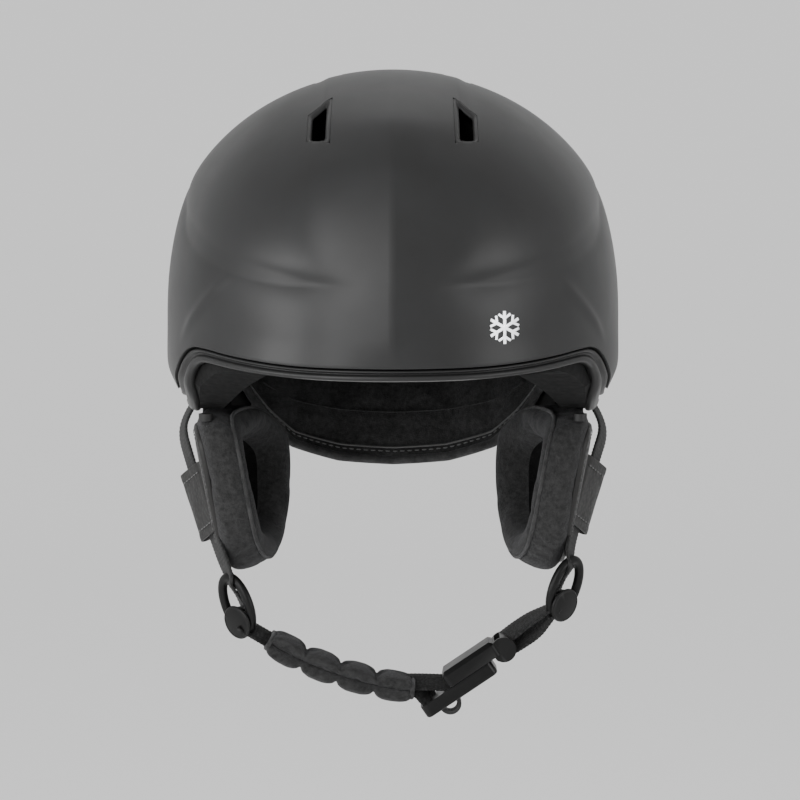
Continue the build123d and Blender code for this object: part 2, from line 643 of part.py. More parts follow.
def buckle_base():
    """The lower half: a long bar with the magnet's boss, and a slot for the webbing."""
    (x0, x1), (z0, z1) = BUCKLE_X, BUCKLE_Z
    bar = Pos((x0 + x1) / 2, 0, (z0 + z1) / 2) * Box(x1 - x0, BUCKLE_W, z1 - z0)
    bar = fillet(bar.edges().filter_by(Axis.Z), 3.0)
    bar = fillet(bar.edges().filter_by(lambda e: abs(e.center().Z - z0) < 0.05), 1.4)
    boss = Pos(BOSS_X, 0, 3.4) * Cylinder(MAGNET_R + 1.2, 2.2)
    bar += boss
    bar -= Pos(BOSS_X, 0, 3.6) * Cylinder(MAGNET_R, 2.0)
    bar -= Pos(0, 0, -1) * Box(3.2, WEB_W + 0.6, 12)
    return bar


def buckle_latch():
    """The upper half: a cover that takes the boss in a channel open to the back, and a strap loop."""
    low, high = LATCH_Z
    middle = Pos(sum(LATCH_X) / 2, 0, (low + high) / 2)
    cover = middle * Box(LATCH_X[1] - LATCH_X[0], BUCKLE_W + 2, high - low)
    cover = fillet(cover.edges().filter_by(Axis.Z), 2.5)
    cover = chamfer(cover.edges().filter_by(lambda e: abs(e.center().Z - high) < 0.05), 2.0)
    end = Pos(LATCH_X[1] + 2.0, 0, 3.4) * Rot(90, 0, 0) * Cylinder(5.8, BUCKLE_W)
    cover += end
    pivot = swing_pivot()
    reach = pivot.X - BOSS_X
    track = Pos(pivot.X, 0, low + 1.3) * (Cylinder(reach + 5.8, 3.4) - Cylinder(reach - 5.8, 3.4))
    channel = track & Pos(BOSS_X, 40, low) * Box(60, 80, 20) + Pos(BOSS_X, 0, low + 1.3) * Cylinder(5.8, 3.4)
    magnet_seat = Pos(BOSS_X, 0, 7.0) * Cylinder(MAGNET_R, 2.0)
    loop = Pos(LATCH_X[1] + 2.0, 0, 3.4) * Box(3.0, WEB_W + 0.6, 16)
    under = Pos(0, 0, low - 10) * Box(2 * (LATCH_X[1] - 3.4), BUCKLE_W + 40, 20)
    return cover - channel - magnet_seat - loop - under


def pull_tab():
    """The rubber loop under the base."""
    place = Pos(8.0, 0, BUCKLE_Z[0] - 0.4) * Rot(90, 0, 0)
    loop = place * (Cylinder(5.2, 7.0) - Cylinder(3.2, 9.0))
    return loop & Pos(8.0, 0, BUCKLE_Z[0] - 10) * Box(30, 30, 20)


def swing_pivot():
    """The bend in the left chin strap, in the buckle's frame."""
    return buckle_frame().to_local_coords(Vector(*LATCH_PIVOT))


def make_chin():
    (x0, z0), (x2, z2) = CHIN_PAD[0], CHIN_PAD[2]
    dx, dz = DIVIDER_RIGHT[0], DIVIDER_RIGHT[2]
    lead_in = [(dx + 2.0, dz - 8.0), (x0 - 4.0, z0 + 2.4), (x0, z0)]
    lead_out = [(x2, z2), (x2 + 3.5, z2 - 1.0), (BUCKLE_END[0] - 1.2, BUCKLE_END[2] + 1.5)]

    def webbing(grow):
        width, thickness = WEB_W + grow, WEB_T + grow
        runs = ribbon(lead_in, width, thickness, CHIN_Y) + ribbon(lead_out, width, thickness, CHIN_Y)
        return chin_ribbon(thickness, width) + runs

    frame = buckle_frame()
    base = frame * buckle_base()
    strap = webbing(0) - base - divider_room(DIVIDER_RIGHT, -1)
    add("chin_strap_right", max(strap.solids(), key=lambda piece: piece.volume))
    add("chin_pad", chin_ribbon(CHIN_PAD_SIZE[1], CHIN_PAD_SIZE[0]) - webbing(0.8))
    add("buckle_base", base)
    add("buckle_magnet_base", frame * Pos(BOSS_X, 0, 3.6) * Cylinder(MAGNET_R - 0.05, 1.8))
    add("buckle_pull_tab", frame * pull_tab())
    add("buckle_latch", frame * buckle_latch())
    add("buckle_magnet_latch", frame * Pos(BOSS_X, 0, 7.1) * Cylinder(MAGNET_R - 0.05, 1.7))
    pivot = swing_pivot()
    start, end = Vector(LATCH_X[1] + 8.0, 0, 3.4), Vector(pivot.X, 0, pivot.Z)
    along = end - start
    lean = degrees(atan2(along.Z, along.X))
    foot = end - along.normalized() * 3.0
    length = (foot - start).length
    strip = Pos(*((start + foot) * HALF)) * Rot(0, -lean, 0) * Box(length, WEB_W, WEB_T)
    head = Pos(*end) * Rot(0, -lean, 0) * Cylinder(STRAP_EYE_R, WEB_T)
    add("chin_strap_left", frame * (strip + head))


# ================================================================ goggle clip
def make_goggle_clip(forms):
    z_low, z_high = CLIP_Z
    block = Pos(0, 120, (z_low + z_high) / 2) * Box(CLIP_W, 60, z_high - z_low)
    outer = helmet_form(-4.2)
    strap = (outer - helmet_form(-1.8)) & block
    base = (outer - helmet_form(-0.05)) & Pos(0, 120, CLIP_HINGE_Z + 4.8) * Box(CLIP_W + 4, 60, 7.6)
    y = surface_y(CLIP_HINGE_Z) + 2.6
    pin = Pos(0, y, CLIP_HINGE_Z) * Rot(0, 90, 0) * Cylinder(1.1, CLIP_W + 4)
    knuckle = Pos(0, y, CLIP_HINGE_Z) * Rot(0, 90, 0) * (Cylinder(2.4, CLIP_W - 6) - Cylinder(1.15, CLIP_W))
    leaf = (outer - helmet_form(-1.8)) & Pos(0, 120, CLIP_HINGE_Z - 2.4) * Box(CLIP_W - 6, 60, 6)
    strap = strap + (leaf - pin_clearance(y, 1.15)) + knuckle
    ears = None
    for side in (-1, 1):
        ear = Pos(side * (CLIP_W / 2 - 0.4), y - 0.4, CLIP_HINGE_Z) * Box(4.4, 4.0, 6.4)
        ears = ear if ears is None else ears + ear
    base = base + ears - helmet_form(0) - pin_clearance(y, 1.12)
    strap -= ears_clearance(y)
    base -= Pos(0, y, CLIP_HINGE_Z) * Rot(0, 90, 0) * Cylinder(2.8, CLIP_W - 5.4)
    stud_z = z_low + 9
    stud = Pos(0, surface_y(stud_z) + 0.85, stud_z) * Rot(90, 0, 0) * Cylinder(3.0, 1.7)
    cap = Pos(0, surface_y(stud_z) + 5.0, stud_z) * Rot(90, 0, 0) * Cylinder(6.5, 1.8)
    cap = cap - outer
    stud_room = Pos(0, surface_y(stud_z) + 1.0, stud_z) * Rot(90, 0, 0) * Cylinder(3.3, 2.6)
    add("goggle_clip_strap", strap - stud_room)
    add("goggle_clip_base", base)
    add("goggle_clip_pin", pin)
    add("goggle_snap_stud", stud - helmet_form(0))
    add("goggle_snap_cap", cap)


def surface_y(z):
    """The back surface's Y on the symmetry plane, at a height."""
    profile = PROFILE[1] * sqrt(1 - ((z - PROFILE_Z) / PROFILE[2]) ** 2)
    return min(profile, CROWN[1])


def pin_clearance(y, r):
    return Pos(0, y, CLIP_HINGE_Z) * Rot(0, 90, 0) * Cylinder(r, CLIP_W + 10)


def ears_clearance(y):
    cut = Pos(CLIP_W / 2 - 0.4, y - 0.4, CLIP_HINGE_Z) * Box(5.2, 8, 12)
    return cut + mirror(cut, about=Plane.YZ)


# ================================================================ badge
def make_badge():
    """A plain six-armed snowflake, laid on the brow."""
    arm = Pos(0, 3.6) * Rectangle(1.3, 7.2)
    for side in (-1, 1):
        arm += Pos(side * 1.3, 4.9) * Rot(0, 0, -side * 55) * Rectangle(1.1, 3.4)
    flake = arm
    for i in range(1, 6):
        flake += Rot(0, 0, 60 * i) * arm
    prism = extrude(Plane(origin=(49, -150, 42), x_dir=(1, 0, 0), z_dir=(0, 1, 0)) * flake, 80)
    add("badge", (helmet_form(-0.35) - helmet_form(-0.02)) & prism)


INSETS = [0, 0.4, RIM_INSET, RIM_INSET + RIM_T, RIM_INSET + RIM_T + 0.2]
INSETS += [SHELL_T, SHELL_T + SHELL_GAP, BEZEL_DEPTH, BEZEL_DEPTH + 0.2]
FORMS = {inset: helmet_form(inset) for inset in INSETS}

make_shell(FORMS)
make_vent_slider()
make_comfort_pads()
make_fit_system()
make_ear_pads()
make_straps()
make_dividers()
make_chin()
make_goggle_clip(FORMS)
make_badge()

os.makedirs("parts", exist_ok=True)
for node, shape in PARTS.items():
    export_step(shape, f"parts/{node}.step")
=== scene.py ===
"""Ski helmet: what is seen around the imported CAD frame.

Lengths are in millimetres until a mesh is made, in the frame's own axes:
+Z up, -Y front, +X the wearer's left.
"""

import json
import math

import bmesh
import bpy
import numpy as np
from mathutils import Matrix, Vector
from mathutils.bvhtree import BVHTree


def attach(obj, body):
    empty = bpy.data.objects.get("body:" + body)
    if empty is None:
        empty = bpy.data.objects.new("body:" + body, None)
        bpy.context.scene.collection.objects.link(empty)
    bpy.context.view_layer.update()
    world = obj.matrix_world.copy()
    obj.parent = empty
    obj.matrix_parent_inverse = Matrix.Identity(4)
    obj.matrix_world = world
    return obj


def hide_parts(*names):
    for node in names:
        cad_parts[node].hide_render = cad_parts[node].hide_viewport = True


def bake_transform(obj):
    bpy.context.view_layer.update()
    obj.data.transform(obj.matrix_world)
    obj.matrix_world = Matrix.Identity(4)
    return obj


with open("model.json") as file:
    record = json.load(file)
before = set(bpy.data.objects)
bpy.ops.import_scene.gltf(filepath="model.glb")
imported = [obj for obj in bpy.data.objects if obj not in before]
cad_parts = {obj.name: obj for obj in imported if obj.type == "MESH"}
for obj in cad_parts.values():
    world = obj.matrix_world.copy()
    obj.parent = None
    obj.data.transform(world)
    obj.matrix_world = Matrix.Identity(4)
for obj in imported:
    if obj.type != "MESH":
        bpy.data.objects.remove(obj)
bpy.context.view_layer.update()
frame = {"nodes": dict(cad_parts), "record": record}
MM = 0.001

# ---------------------------------------------------------------- the helmet's outer form
CENTRE = np.array([0.0, 0.0, 30.0])  # the form is star-shaped about this point
CROWN, CROWN_Z = (105.4, 129.8, 91.0), 62.7
FLANK, FLANK_Z = (105.8, 139.6, 161.8), 31.2
PROFILE, PROFILE_Z = (155.0, 131.0, 130.0), 37.0
SKIRT_LOW, SKIRT_HIGH, SKIRT_H = (68.6, 97.0), (125.0, 177.0), 60.0
CREASE = 160.0  # how sharply the bodies meet
SHELL_T = 2.5
SEAM = 0.8
# Side-view outlines, as (y, z), front to back.
SHELL_EDGE = [(-140, 24.0), (-119, 25.4), (-80, 30.0), (-67, 30.4), (-58, 27.0)]
SHELL_EDGE += [(-37, 11.0), (-28, 7.5), (40, 5.0), (80, -10.0), (140, -16.0)]
RIM_EDGE = [(-140, 18.0), (-104, 21.1), (-80, 23.5), (-71, 23.5), (-62, 18.0), (-55, 8.0)]
RIM_EDGE += [(-45, 1.5), (-35, -2.5), (40, -3.0), (80, -22.0), (140, -28.0)]
DIAL_TILT = math.radians(16)
DIAL_CENTRE = (12.0, 4.0)  # (y, z) of the fit system's origin
ARCH_R = 21.5
FRONT_VENT = [(29.8, -88.0), (36.1, -83.5), (35.8, -66.0), (29.4, -61.0)]
TOP_VENT = [(25.5, -5.0), (34.0, -7.0), (35.0, 14.0), (26.5, 18.0)]
REAR_VENT = [(21.0, 70.0), (37.0, 66.0), (35.0, 54.0), (21.0, 57.0)]  # (x, z), seen from behind
BEZEL_W = 2.2
SLIDER_SLOT = (4.5, 21.3, 67.0)  # half width, and its two ends in y


def smoothstep(low, high, value):
    t = np.clip((value - low) / (high - low), 0, 1)
    return t * t * (3 - 2 * t)


def gauge(points, inset):
    """Under 1 inside the form moved in by inset, and over 1 outside it."""
    x, y, z = points[..., 0], points[..., 1], points[..., 2]

    def ball(axes, middle, height):
        a, b, c = (axis - inset for axis in axes)
        return np.sqrt((x / a) ** 2 + (y / b) ** 2 + ((height - middle) / c) ** 2)

    share = (np.minimum(z, SKIRT_H) + SKIRT_H) / (2 * SKIRT_H)
    skirt_x = SKIRT_LOW[0] + share * (SKIRT_HIGH[0] - SKIRT_LOW[0]) - inset
    skirt_y = SKIRT_LOW[1] + share * (SKIRT_HIGH[1] - SKIRT_LOW[1]) - inset
    values = [
        ball(CROWN, CROWN_Z, np.maximum(z, CROWN_Z)),
        ball(FLANK, FLANK_Z, z),
        ball(PROFILE, PROFILE_Z, z),
        np.sqrt((x / skirt_x) ** 2 + (y / skirt_y) ** 2),
    ]
    return sum(v**CREASE for v in values) ** (1 / CREASE)


def features(points):
    """How far the styling stands out of the plain form, in millimetres."""
    x, y, z = points[..., 0], points[..., 1], points[..., 2]
    side = np.abs(x)
    turn = np.degrees(np.arctan2(side, -y))  # 0 at the front, 180 at the back
    in_front = smoothstep(95, 60, turn)

    keel = (3.5 * np.exp(-side / 30) - 1.6) * smoothstep(150, 128, z) * smoothstep(20, 38, z) * in_front

    ledge_z = 60 + 41.5 * (np.minimum(turn, 120) / 90) ** 1.7
    below = ledge_z - z
    ramp = 0.5 * (below + np.sqrt(below**2 + 1.3**2))
    strength = smoothstep(3, 20, turn) * (1 - 0.55 * smoothstep(60, 90, turn)) * smoothstep(160, 120, turn)
    above = 0.5 * (np.sqrt(below**2 + 1.3**2) - below)
    brow = 3.8 * (1 - np.exp(-ramp / 13.0)) * np.exp(-ramp / 45)
    ledge = strength * (brow - 2.2 * np.exp(-above / 3.4) * np.exp(-ramp / 16))

    along = np.radians(turn) * 115
    start, end = np.array([116.0, 37.5]), np.array([81.5, 60.0])
    run = end - start
    share = ((along - start[0]) * run[0] + (z - start[1]) * run[1]) / (run @ run)
    off = ((along - start[0]) * run[1] - (z - start[1]) * run[0]) / np.sqrt(run @ run)
    fold = 0.8 * np.exp(-((off / 2.6) ** 2)) * smoothstep(-0.3, 0.2, share) * smoothstep(1.25, 0.8, share)

    panel = 0.8 * smoothstep(34, 29, side) * smoothstep(118, 132, z)
    slider_bed = smoothstep(16, 13, side) * smoothstep(5, 12, y) * smoothstep(84, 77, y)
    clip_bed = smoothstep(24, 18, side) * smoothstep(150, 165, turn)
    styled = np.maximum(keel + ledge + fold * in_front, -2.0)
    return styled * (1 - clip_bed) + panel * (1 - slider_bed)


def directions(turn, rise):
    """Unit rays from the centre. turn is from the front towards +X, rise above the horizon, in radians."""
    return np.stack([np.sin(turn) * np.cos(rise), -np.cos(turn) * np.cos(rise), np.sin(rise)], -1)


def surface(turn, rise, inset=0.0):
    """Points of the outer form, with its styling, moved in by inset."""
    ray = directions(turn, rise)
    near, far = np.full(ray.shape[:-1], 40.0), np.full(ray.shape[:-1], 200.0)
    for _ in range(24):
        middle = (near + far) / 2
        inside = gauge(CENTRE + ray * middle[..., None], inset) < 1
        near, far = np.where(inside, middle, near), np.where(inside, far, middle)
    point = CENTRE + ray * near[..., None]
    return point + ray * features(point)[..., None]


def edge_height(edge, x, y):
    """The height of a side-view outline, its corners rounded, and the arch over the dial."""
    ys, zs = zip(*edge)
    height = sum(np.interp(y + shift, ys, zs) for shift in (-5, -2.5, 0, 2.5, 5)) / 5
    hub = DIAL_CENTRE[1] - math.tan(DIAL_TILT) * (y - DIAL_CENTRE[0])
    reach = np.sqrt(np.clip(ARCH_R**2 - x**2, 0, None)) / math.cos(DIAL_TILT)
    over = np.where((y > 60) & (np.abs(x) < ARCH_R), hub + reach, -200)
    return np.maximum(height, over)


def edge_rise(turn, edge, inset, lift=0.0):
    """For each turn, the ray's rise where the surface meets an outline."""
    low, high = np.full(turn.shape, -0.9), np.full(turn.shape, 0.6)
    for _ in range(18):
        middle = (low + high) / 2
        p = surface(turn, middle, inset)
        above = p[..., 2] > edge_height(edge, p[..., 0], p[..., 1]) + lift
        low, high = np.where(above, low, middle), np.where(above, middle, high)
    return high


# ---------------------------------------------------------------- meshes
def piece(name, points, faces, finish, body="helmet", slot=None, replaces=(), smooth=True):
    """A mesh piece from points in millimetres, riding on a body."""
    mesh = bpy.data.meshes.new(name)
    mesh.from_pydata([tuple(p) for p in np.asarray(points, float) * MM], [], faces)
    mesh.validate()
    mesh.update()
    obj = bpy.data.objects.new(name, mesh)
    bpy.context.scene.collection.objects.link(obj)
    mesh.materials.append(finish)
    mesh.polygons.foreach_set("use_smooth", [smooth] * len(mesh.polygons))
    if body:
        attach(obj, body)
    if replaces:
        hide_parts(*replaces)
    return obj


def grid_faces(rows, columns, wrap_columns=True, wrap_rows=False):
    """Quads of a grid whose points are stored row by row."""
    faces = []
    for r in range(rows if wrap_rows else rows - 1):
        for c in range(columns if wrap_columns else columns - 1):
            a, b = r * columns + c, r * columns + (c + 1) % columns
            next_row = ((r + 1) % rows) * columns
            faces.append((a, b, next_row + (c + 1) % columns, next_row + c))
    return faces


def outward(obj):
    """Makes the faces of a closed mesh look outwards."""
    work = bmesh.new()
    work.from_mesh(obj.data)
    bmesh.ops.recalc_face_normals(work, faces=work.faces)
    work.to_mesh(obj.data)
    work.free()
    return obj


def modifier(obj, kind, **values):
    added = obj.modifiers.new(kind.title(), kind)
    for key, value in values.items():
        setattr(added, key, value)
    return added


def bevelled(obj, width, corner):
    modifier(obj, "BEVEL", width=width, segments=2, limit_method="ANGLE", angle_limit=math.radians(corner))


def applied(obj):
    """The object with its modifiers made part of its mesh."""
    evaluated = obj.evaluated_get(bpy.context.evaluated_depsgraph_get())
    mesh = bpy.data.meshes.new_from_object(evaluated)
    obj.modifiers.clear()
    obj.data = mesh
    return obj


def rounded(points, rounds=3, closed=False):
    """A polyline with its corners cut again and again, which makes it smooth."""
    points = np.asarray(points, float)
    for _ in range(rounds):
        nxt = np.roll(points, -1, 0) if closed else points[1:]
        now = points if closed else points[:-1]
        cut = np.stack([now * 0.75 + nxt * 0.25, now * 0.25 + nxt * 0.75], 1).reshape(-1, points.shape[1])
        points = cut if closed else np.vstack([points[:1], cut[1:-1], points[-1:]])
    return points


def spaced(points, step=None, count=None, closed=False):
    """The same line with its points evenly spaced."""
    points = np.asarray(points, float)
    line = np.vstack([points, points[:1]]) if closed else points
    reach = np.concatenate([[0], np.cumsum(np.linalg.norm(np.diff(line, axis=0), axis=1))])
    count = count or max(2, int(round(reach[-1] / step)) + (0 if closed else 1))
    at = np.linspace(0, reach[-1], count, endpoint=not closed)
    return np.stack([np.interp(at, reach, line[:, k]) for k in range(points.shape[1])], 1)


def unit(vectors):
    return vectors / np.maximum(np.linalg.norm(vectors, axis=-1, keepdims=True), 1e-9)


def tangents(path, closed=False):
    if closed:
        return unit(np.roll(path, -1, 0) - np.roll(path, 1, 0))
    return unit(np.gradient(path, axis=0))


def tube(name, path, radius, finish, closed=False, sides=8, **keys):
    """A round cord along a path, its ends drawn in."""
    path = np.asarray(path, float)
    along = tangents(path, closed)
    hint = np.array([0.3, 0.5, 0.81])
    across = unit(np.cross(along, hint))
    other = np.cross(along, across)
    size = np.full(len(path), radius)
    if not closed:
        size[0] = size[-1] = radius * 0.3
    turn = np.linspace(0, 2 * math.pi, sides, endpoint=False)
    cosine, sine = np.cos(turn)[None, :, None], np.sin(turn)[None, :, None]
    rings = path[:, None] + size[:, None, None] * (cosine * across[:, None] + sine * other[:, None])
    faces = grid_faces(len(path), sides, True, closed)
    if not closed:
        faces += [tuple(range(sides))[::-1], tuple((len(path) - 1) * sides + k for k in range(sides))]
    return outward(piece(name, rings.reshape(-1, 3), faces, finish, **keys))


def stitches(name, path, normals, finish, closed=False, length=2.3, gap=1.3, radius=0.3, **keys):
    """A row of thread stitches lying on a surface."""
    pitch = length + gap
    both = np.hstack([path, normals])
    both = spaced(both, step=pitch / 4, closed=closed)
    reach = len(both)
    points, faces = [], []
    for start in range(0, reach - 3, 4):
        ends = both[start, :3], both[min(start + 3, reach - 1), :3]
        up = unit(both[start, 3:])
        middle, half = (ends[0] + ends[1]) / 2, (ends[1] - ends[0]) / 2
        if np.linalg.norm(half) < 0.3:
            continue
        half = unit(half) * length / 2
        across = unit(np.cross(half, up))
        for share, size in ((-1, 0.35), (-0.6, 1.0), (0.6, 1.0), (1, 0.35)):
            centre = middle + half * share + up * radius * (0.55 if abs(share) < 1 else 0.1)
            for k in range(6):
                a = k * math.pi / 3
                points.append(centre + radius * size * (math.cos(a) * across + math.sin(a) * up))
        base = len(points) - 24
        faces += [tuple(base + i for i in f) for f in grid_faces(4, 6)]
        faces += [tuple(base + k for k in range(6))[::-1], tuple(base + 18 + k for k in range(6))]
    return outward(piece(name, points, faces, finish, **keys))


def webbing(name, path, out, width, finish, thickness=1.4, step=0.45, rib=1.7, taper=None, **keys):
    """A woven strap along a path. out is the way its face looks, one vector or one for each point."""
    out = np.broadcast_to(np.asarray(out, float), np.shape(path))
    both = spaced(np.hstack([path, out]), step=step)
    line, out = both[:, :3], both[:, 3:]
    along = tangents(line)
    out = unit(out - np.sum(out * along, 1, keepdims=True) * along)
    across = np.cross(along, out)
    reach = np.arange(len(line)) * step
    wave = 0.5 + 0.5 * np.cos(2 * math.pi * reach / rib)
    widths = np.full(len(line), width) if taper is None else np.interp(reach / reach[-1], *taper)
    half = widths / 2 - 0.22 * (1 - wave)
    thick = thickness / 2 - 0.16 * (1 - wave)
    section = [(-0.97, -0.55), (-0.9, -1), (-0.45, -0.93), (0, -1), (0.45, -0.93), (0.9, -1), (0.97, -0.55)]
    section += [(-a, -b) for a, b in section]
    rings = [line + across * (half * a)[:, None] + out * (thick * b)[:, None] for a, b in section]
    rings = np.stack(rings, 1)
    count = len(section)
    faces = grid_faces(len(line), count)
    faces += [tuple(range(count))[::-1], tuple((len(line) - 1) * count + k for k in range(count))]
    obj = outward(piece(name, rings.reshape(-1, 3), faces, finish, **keys))
    uv = obj.data.uv_layers.new(name="weave")
    for loop in obj.data.loops:
        row, k = divmod(loop.vertex_index, count)
        uv.data[loop.index].uv = (section[k][0] * width / 20, reach[row] / 10)
    return obj


# ---------------------------------------------------------------- materials
class Finish:
    """A material under construction: its nodes, and short ways to join them."""

    def __init__(self, name, colour, roughness, **inputs):
        self.material = bpy.data.materials.new(name)
        self.material.use_nodes = True
        self.nodes, self.links = self.material.node_tree.nodes, self.material.node_tree.links
        self.shader = self.nodes["Principled BSDF"]
        self.shader.inputs["Base Color"].default_value = (*colour, 1)
        self.shader.inputs["Roughness"].default_value = roughness
        for key, value in inputs.items():
            self.shader.inputs[key.replace("_", " ").title().replace("Ior", "IOR")].default_value = value
        self.place = self.nodes.new("ShaderNodeTexCoord").outputs["Object"]
        self.height = None

    def noise(self, scale, detail=3.0, rough=0.55, stretch=None):
        node = self.nodes.new("ShaderNodeTexNoise")
        node.inputs["Scale"].default_value = scale
        node.inputs["Detail"].default_value = detail
        node.inputs["Roughness"].default_value = rough
        self.links.new(self.mapped(stretch), node.inputs["Vector"])
        return node.outputs["Fac"]

    def cells(self, scale, feature="F1", stretch=None):
        node = self.nodes.new("ShaderNodeTexVoronoi")
        node.feature = feature
        node.inputs["Scale"].default_value = scale
        self.links.new(self.mapped(stretch), node.inputs["Vector"])
        return node.outputs["Distance"]

    def mapped(self, stretch):
        if stretch is None:
            return self.place
        node = self.nodes.new("ShaderNodeMapping")
        node.inputs["Scale"].default_value = stretch
        self.links.new(self.place, node.inputs["Vector"])
        return node.outputs["Vector"]

    def spread(self, value, low, high, start=0.0, end=1.0):
        node = self.nodes.new("ShaderNodeMapRange")
        node.inputs["From Min"].default_value = low
        node.inputs["From Max"].default_value = high
        node.inputs["To Min"].default_value = start
        node.inputs["To Max"].default_value = end
        self.links.new(value, node.inputs["Value"])
        return node.outputs["Result"]

    def tint(self, value, dark, light, low=0.3, high=0.7):
        ramp = self.nodes.new("ShaderNodeValToRGB")
        ramp.color_ramp.elements[0].position, ramp.color_ramp.elements[1].position = low, high
        ramp.color_ramp.elements[0].color = (*dark, 1)
        ramp.color_ramp.elements[1].color = (*light, 1)
        self.links.new(value, ramp.inputs["Fac"])
        self.links.new(ramp.outputs["Color"], self.shader.inputs["Base Color"])

    def gloss(self, value, low, high, start, end):
        self.links.new(self.spread(value, low, high, start, end), self.shader.inputs["Roughness"])

    def bump(self, value, strength, distance):
        node = self.nodes.new("ShaderNodeBump")
        node.inputs["Strength"].default_value = strength
        node.inputs["Distance"].default_value = distance
        self.links.new(value, node.inputs["Height"])
        if self.height is not None:
            self.links.new(self.height, node.inputs["Normal"])
        self.height = node.outputs["Normal"]
        self.links.new(self.height, self.shader.inputs["Normal"])

    def worn(self, dark, light):
        """Edges rubbed a little lighter."""
        edge = self.nodes.new("ShaderNodeNewGeometry").outputs["Pointiness"]
        self.tint(edge, dark, light, 0.5, 0.62)


def grey(value, warm=0.0):
    return (value * (1 + warm), value, value * (1 - warm))


def make_finishes():
    made = {}

    f = Finish("satin_shell", grey(0.011, -0.02), 0.42, specular_ior_level=0.26)
    f.gloss(f.noise(14, 4), 0.35, 0.65, 0.39, 0.46)
    f.bump(f.noise(2600, 2), 0.05, 0.0002)
    f.tint(f.noise(35, 3), grey(0.0095), grey(0.0125, -0.02))
    made["shell"] = f

    f = Finish("rim_plastic", grey(0.010), 0.42, specular_ior_level=0.26)
    f.gloss(f.noise(60, 3), 0.3, 0.7, 0.36, 0.46)
    f.bump(f.noise(3000, 2), 0.08, 0.0002)
    made["rim"] = f

    f = Finish("foam_beads", grey(0.005), 0.7, specular_ior_level=0.12)
    f.tint(f.noise(400, 2), grey(0.003), grey(0.007))
    f.bump(f.cells(300, "SMOOTH_F1"), 0.5, 0.0008)
    f.bump(f.noise(1800, 2), 0.15, 0.0003)
    made["foam"] = f

    f = Finish("fleece", grey(0.012), 0.95, specular_ior_level=0.1, sheen_weight=0.16, sheen_roughness=0.4)
    f.shader.inputs["Sheen Tint"].default_value = (0.5, 0.5, 0.52, 1)
    clumps = f.noise(420, 6, 0.8)
    f.tint(clumps, grey(0.009), grey(0.034), 0.32, 0.68)
    f.bump(clumps, 0.35, 0.0012)
    f.bump(f.noise(1500, 3, 0.7), 0.8, 0.0007)
    made["fleece"] = f

    f = Finish("cup_cloth", grey(0.004), 0.95, specular_ior_level=0.05)
    f.tint(f.noise(300, 3), grey(0.0025), grey(0.006))
    f.bump(f.cells(900), 0.5, 0.0005)
    made["cup"] = f

    f = Finish(
        "fleece_band", grey(0.022), 0.95, specular_ior_level=0.1, sheen_weight=0.22, sheen_roughness=0.4,
    )  # fmt: skip
    f.shader.inputs["Sheen Tint"].default_value = (0.55, 0.55, 0.57, 1)
    clumps = f.noise(200, 4, 0.65)
    f.tint(clumps, grey(0.016), grey(0.045), 0.3, 0.7)
    f.bump(f.noise(1500, 3, 0.7), 0.8, 0.0007)
    made["fleece_band"] = f

    f = Finish("leatherette", grey(0.012, 0.02), 0.45, specular_ior_level=0.18)
    grain = f.cells(620, "SMOOTH_F1")
    f.bump(f.noise(70, 3), 0.25, 0.0015)
    f.bump(grain, 0.35, 0.0004)
    f.gloss(grain, 0.1, 0.6, 0.36, 0.5)
    f.tint(f.noise(90, 3), grey(0.010, 0.02), grey(0.015, 0.02))
    made["leather"] = f

    f = Finish("webbing_weave", grey(0.014), 0.8, specular_ior_level=0.15, sheen_weight=0.06)
    f.place = f.nodes["Texture Coordinate"].outputs["UV"]
    weave = f.cells(9, "F1", (1.6, 1.0, 1.0))
    f.bump(weave, 0.5, 0.0004)
    f.tint(weave, grey(0.022), grey(0.006), 0.1, 0.6)
    made["webbing"] = f

    f = Finish(
        "buckle_gloss", grey(0.004), 0.34, specular_ior_level=0.1, coat_weight=0.03, coat_roughness=0.15,
    )  # fmt: skip
    f.gloss(f.noise(120, 4), 0.3, 0.7, 0.3, 0.4)
    f.worn(grey(0.0035), grey(0.016))
    f.bump(f.noise(900, 2), 0.04, 0.0002)
    made["buckle"] = f

    f = Finish("moulded_plastic", grey(0.01), 0.5, specular_ior_level=0.24)
    f.gloss(f.noise(80, 3), 0.3, 0.7, 0.48, 0.6)
    f.worn(grey(0.008), grey(0.024))
    f.bump(f.noise(2800, 2), 0.25, 0.0002)
    made["plastic"] = f

    f = Finish("soft_rubber", grey(0.012), 0.65, specular_ior_level=0.25)
    f.bump(f.noise(1600, 3), 0.2, 0.0002)
    f.tint(f.noise(60, 3), grey(0.011), grey(0.019))
    made["rubber"] = f

    f = Finish("blackened_steel", grey(0.06), 0.35, metallic=1.0)
    f.gloss(f.noise(500, 3), 0.3, 0.7, 0.28, 0.45)
    f.worn(grey(0.05), grey(0.2))
    made["dark_steel"] = f

    f = Finish("steel", grey(0.55), 0.3, metallic=1.0)
    brushed = f.noise(500, 3, 0.6, (1.0, 9.0, 1.0))
    f.gloss(brushed, 0.3, 0.7, 0.24, 0.42)
    f.bump(brushed, 0.08, 0.0001)
    made["steel"] = f

    f = Finish("silver_print", (0.78, 0.79, 0.81), 0.3, metallic=0.85)
    f.gloss(f.noise(260, 3), 0.3, 0.7, 0.24, 0.36)
    f.tint(f.noise(45, 2), (0.5, 0.51, 0.53), (0.9, 0.9, 0.91), 0.3, 0.7)
    made["badge"] = f

    f = Finish("thread", grey(0.045), 0.6, sheen_weight=0.2)
    twist = f.noise(2200, 1, 0.5, (1.0, 1.0, 2.5))
    f.bump(twist, 0.4, 0.0002)
    made["thread"] = f
    return {key: value.material for key, value in made.items()}


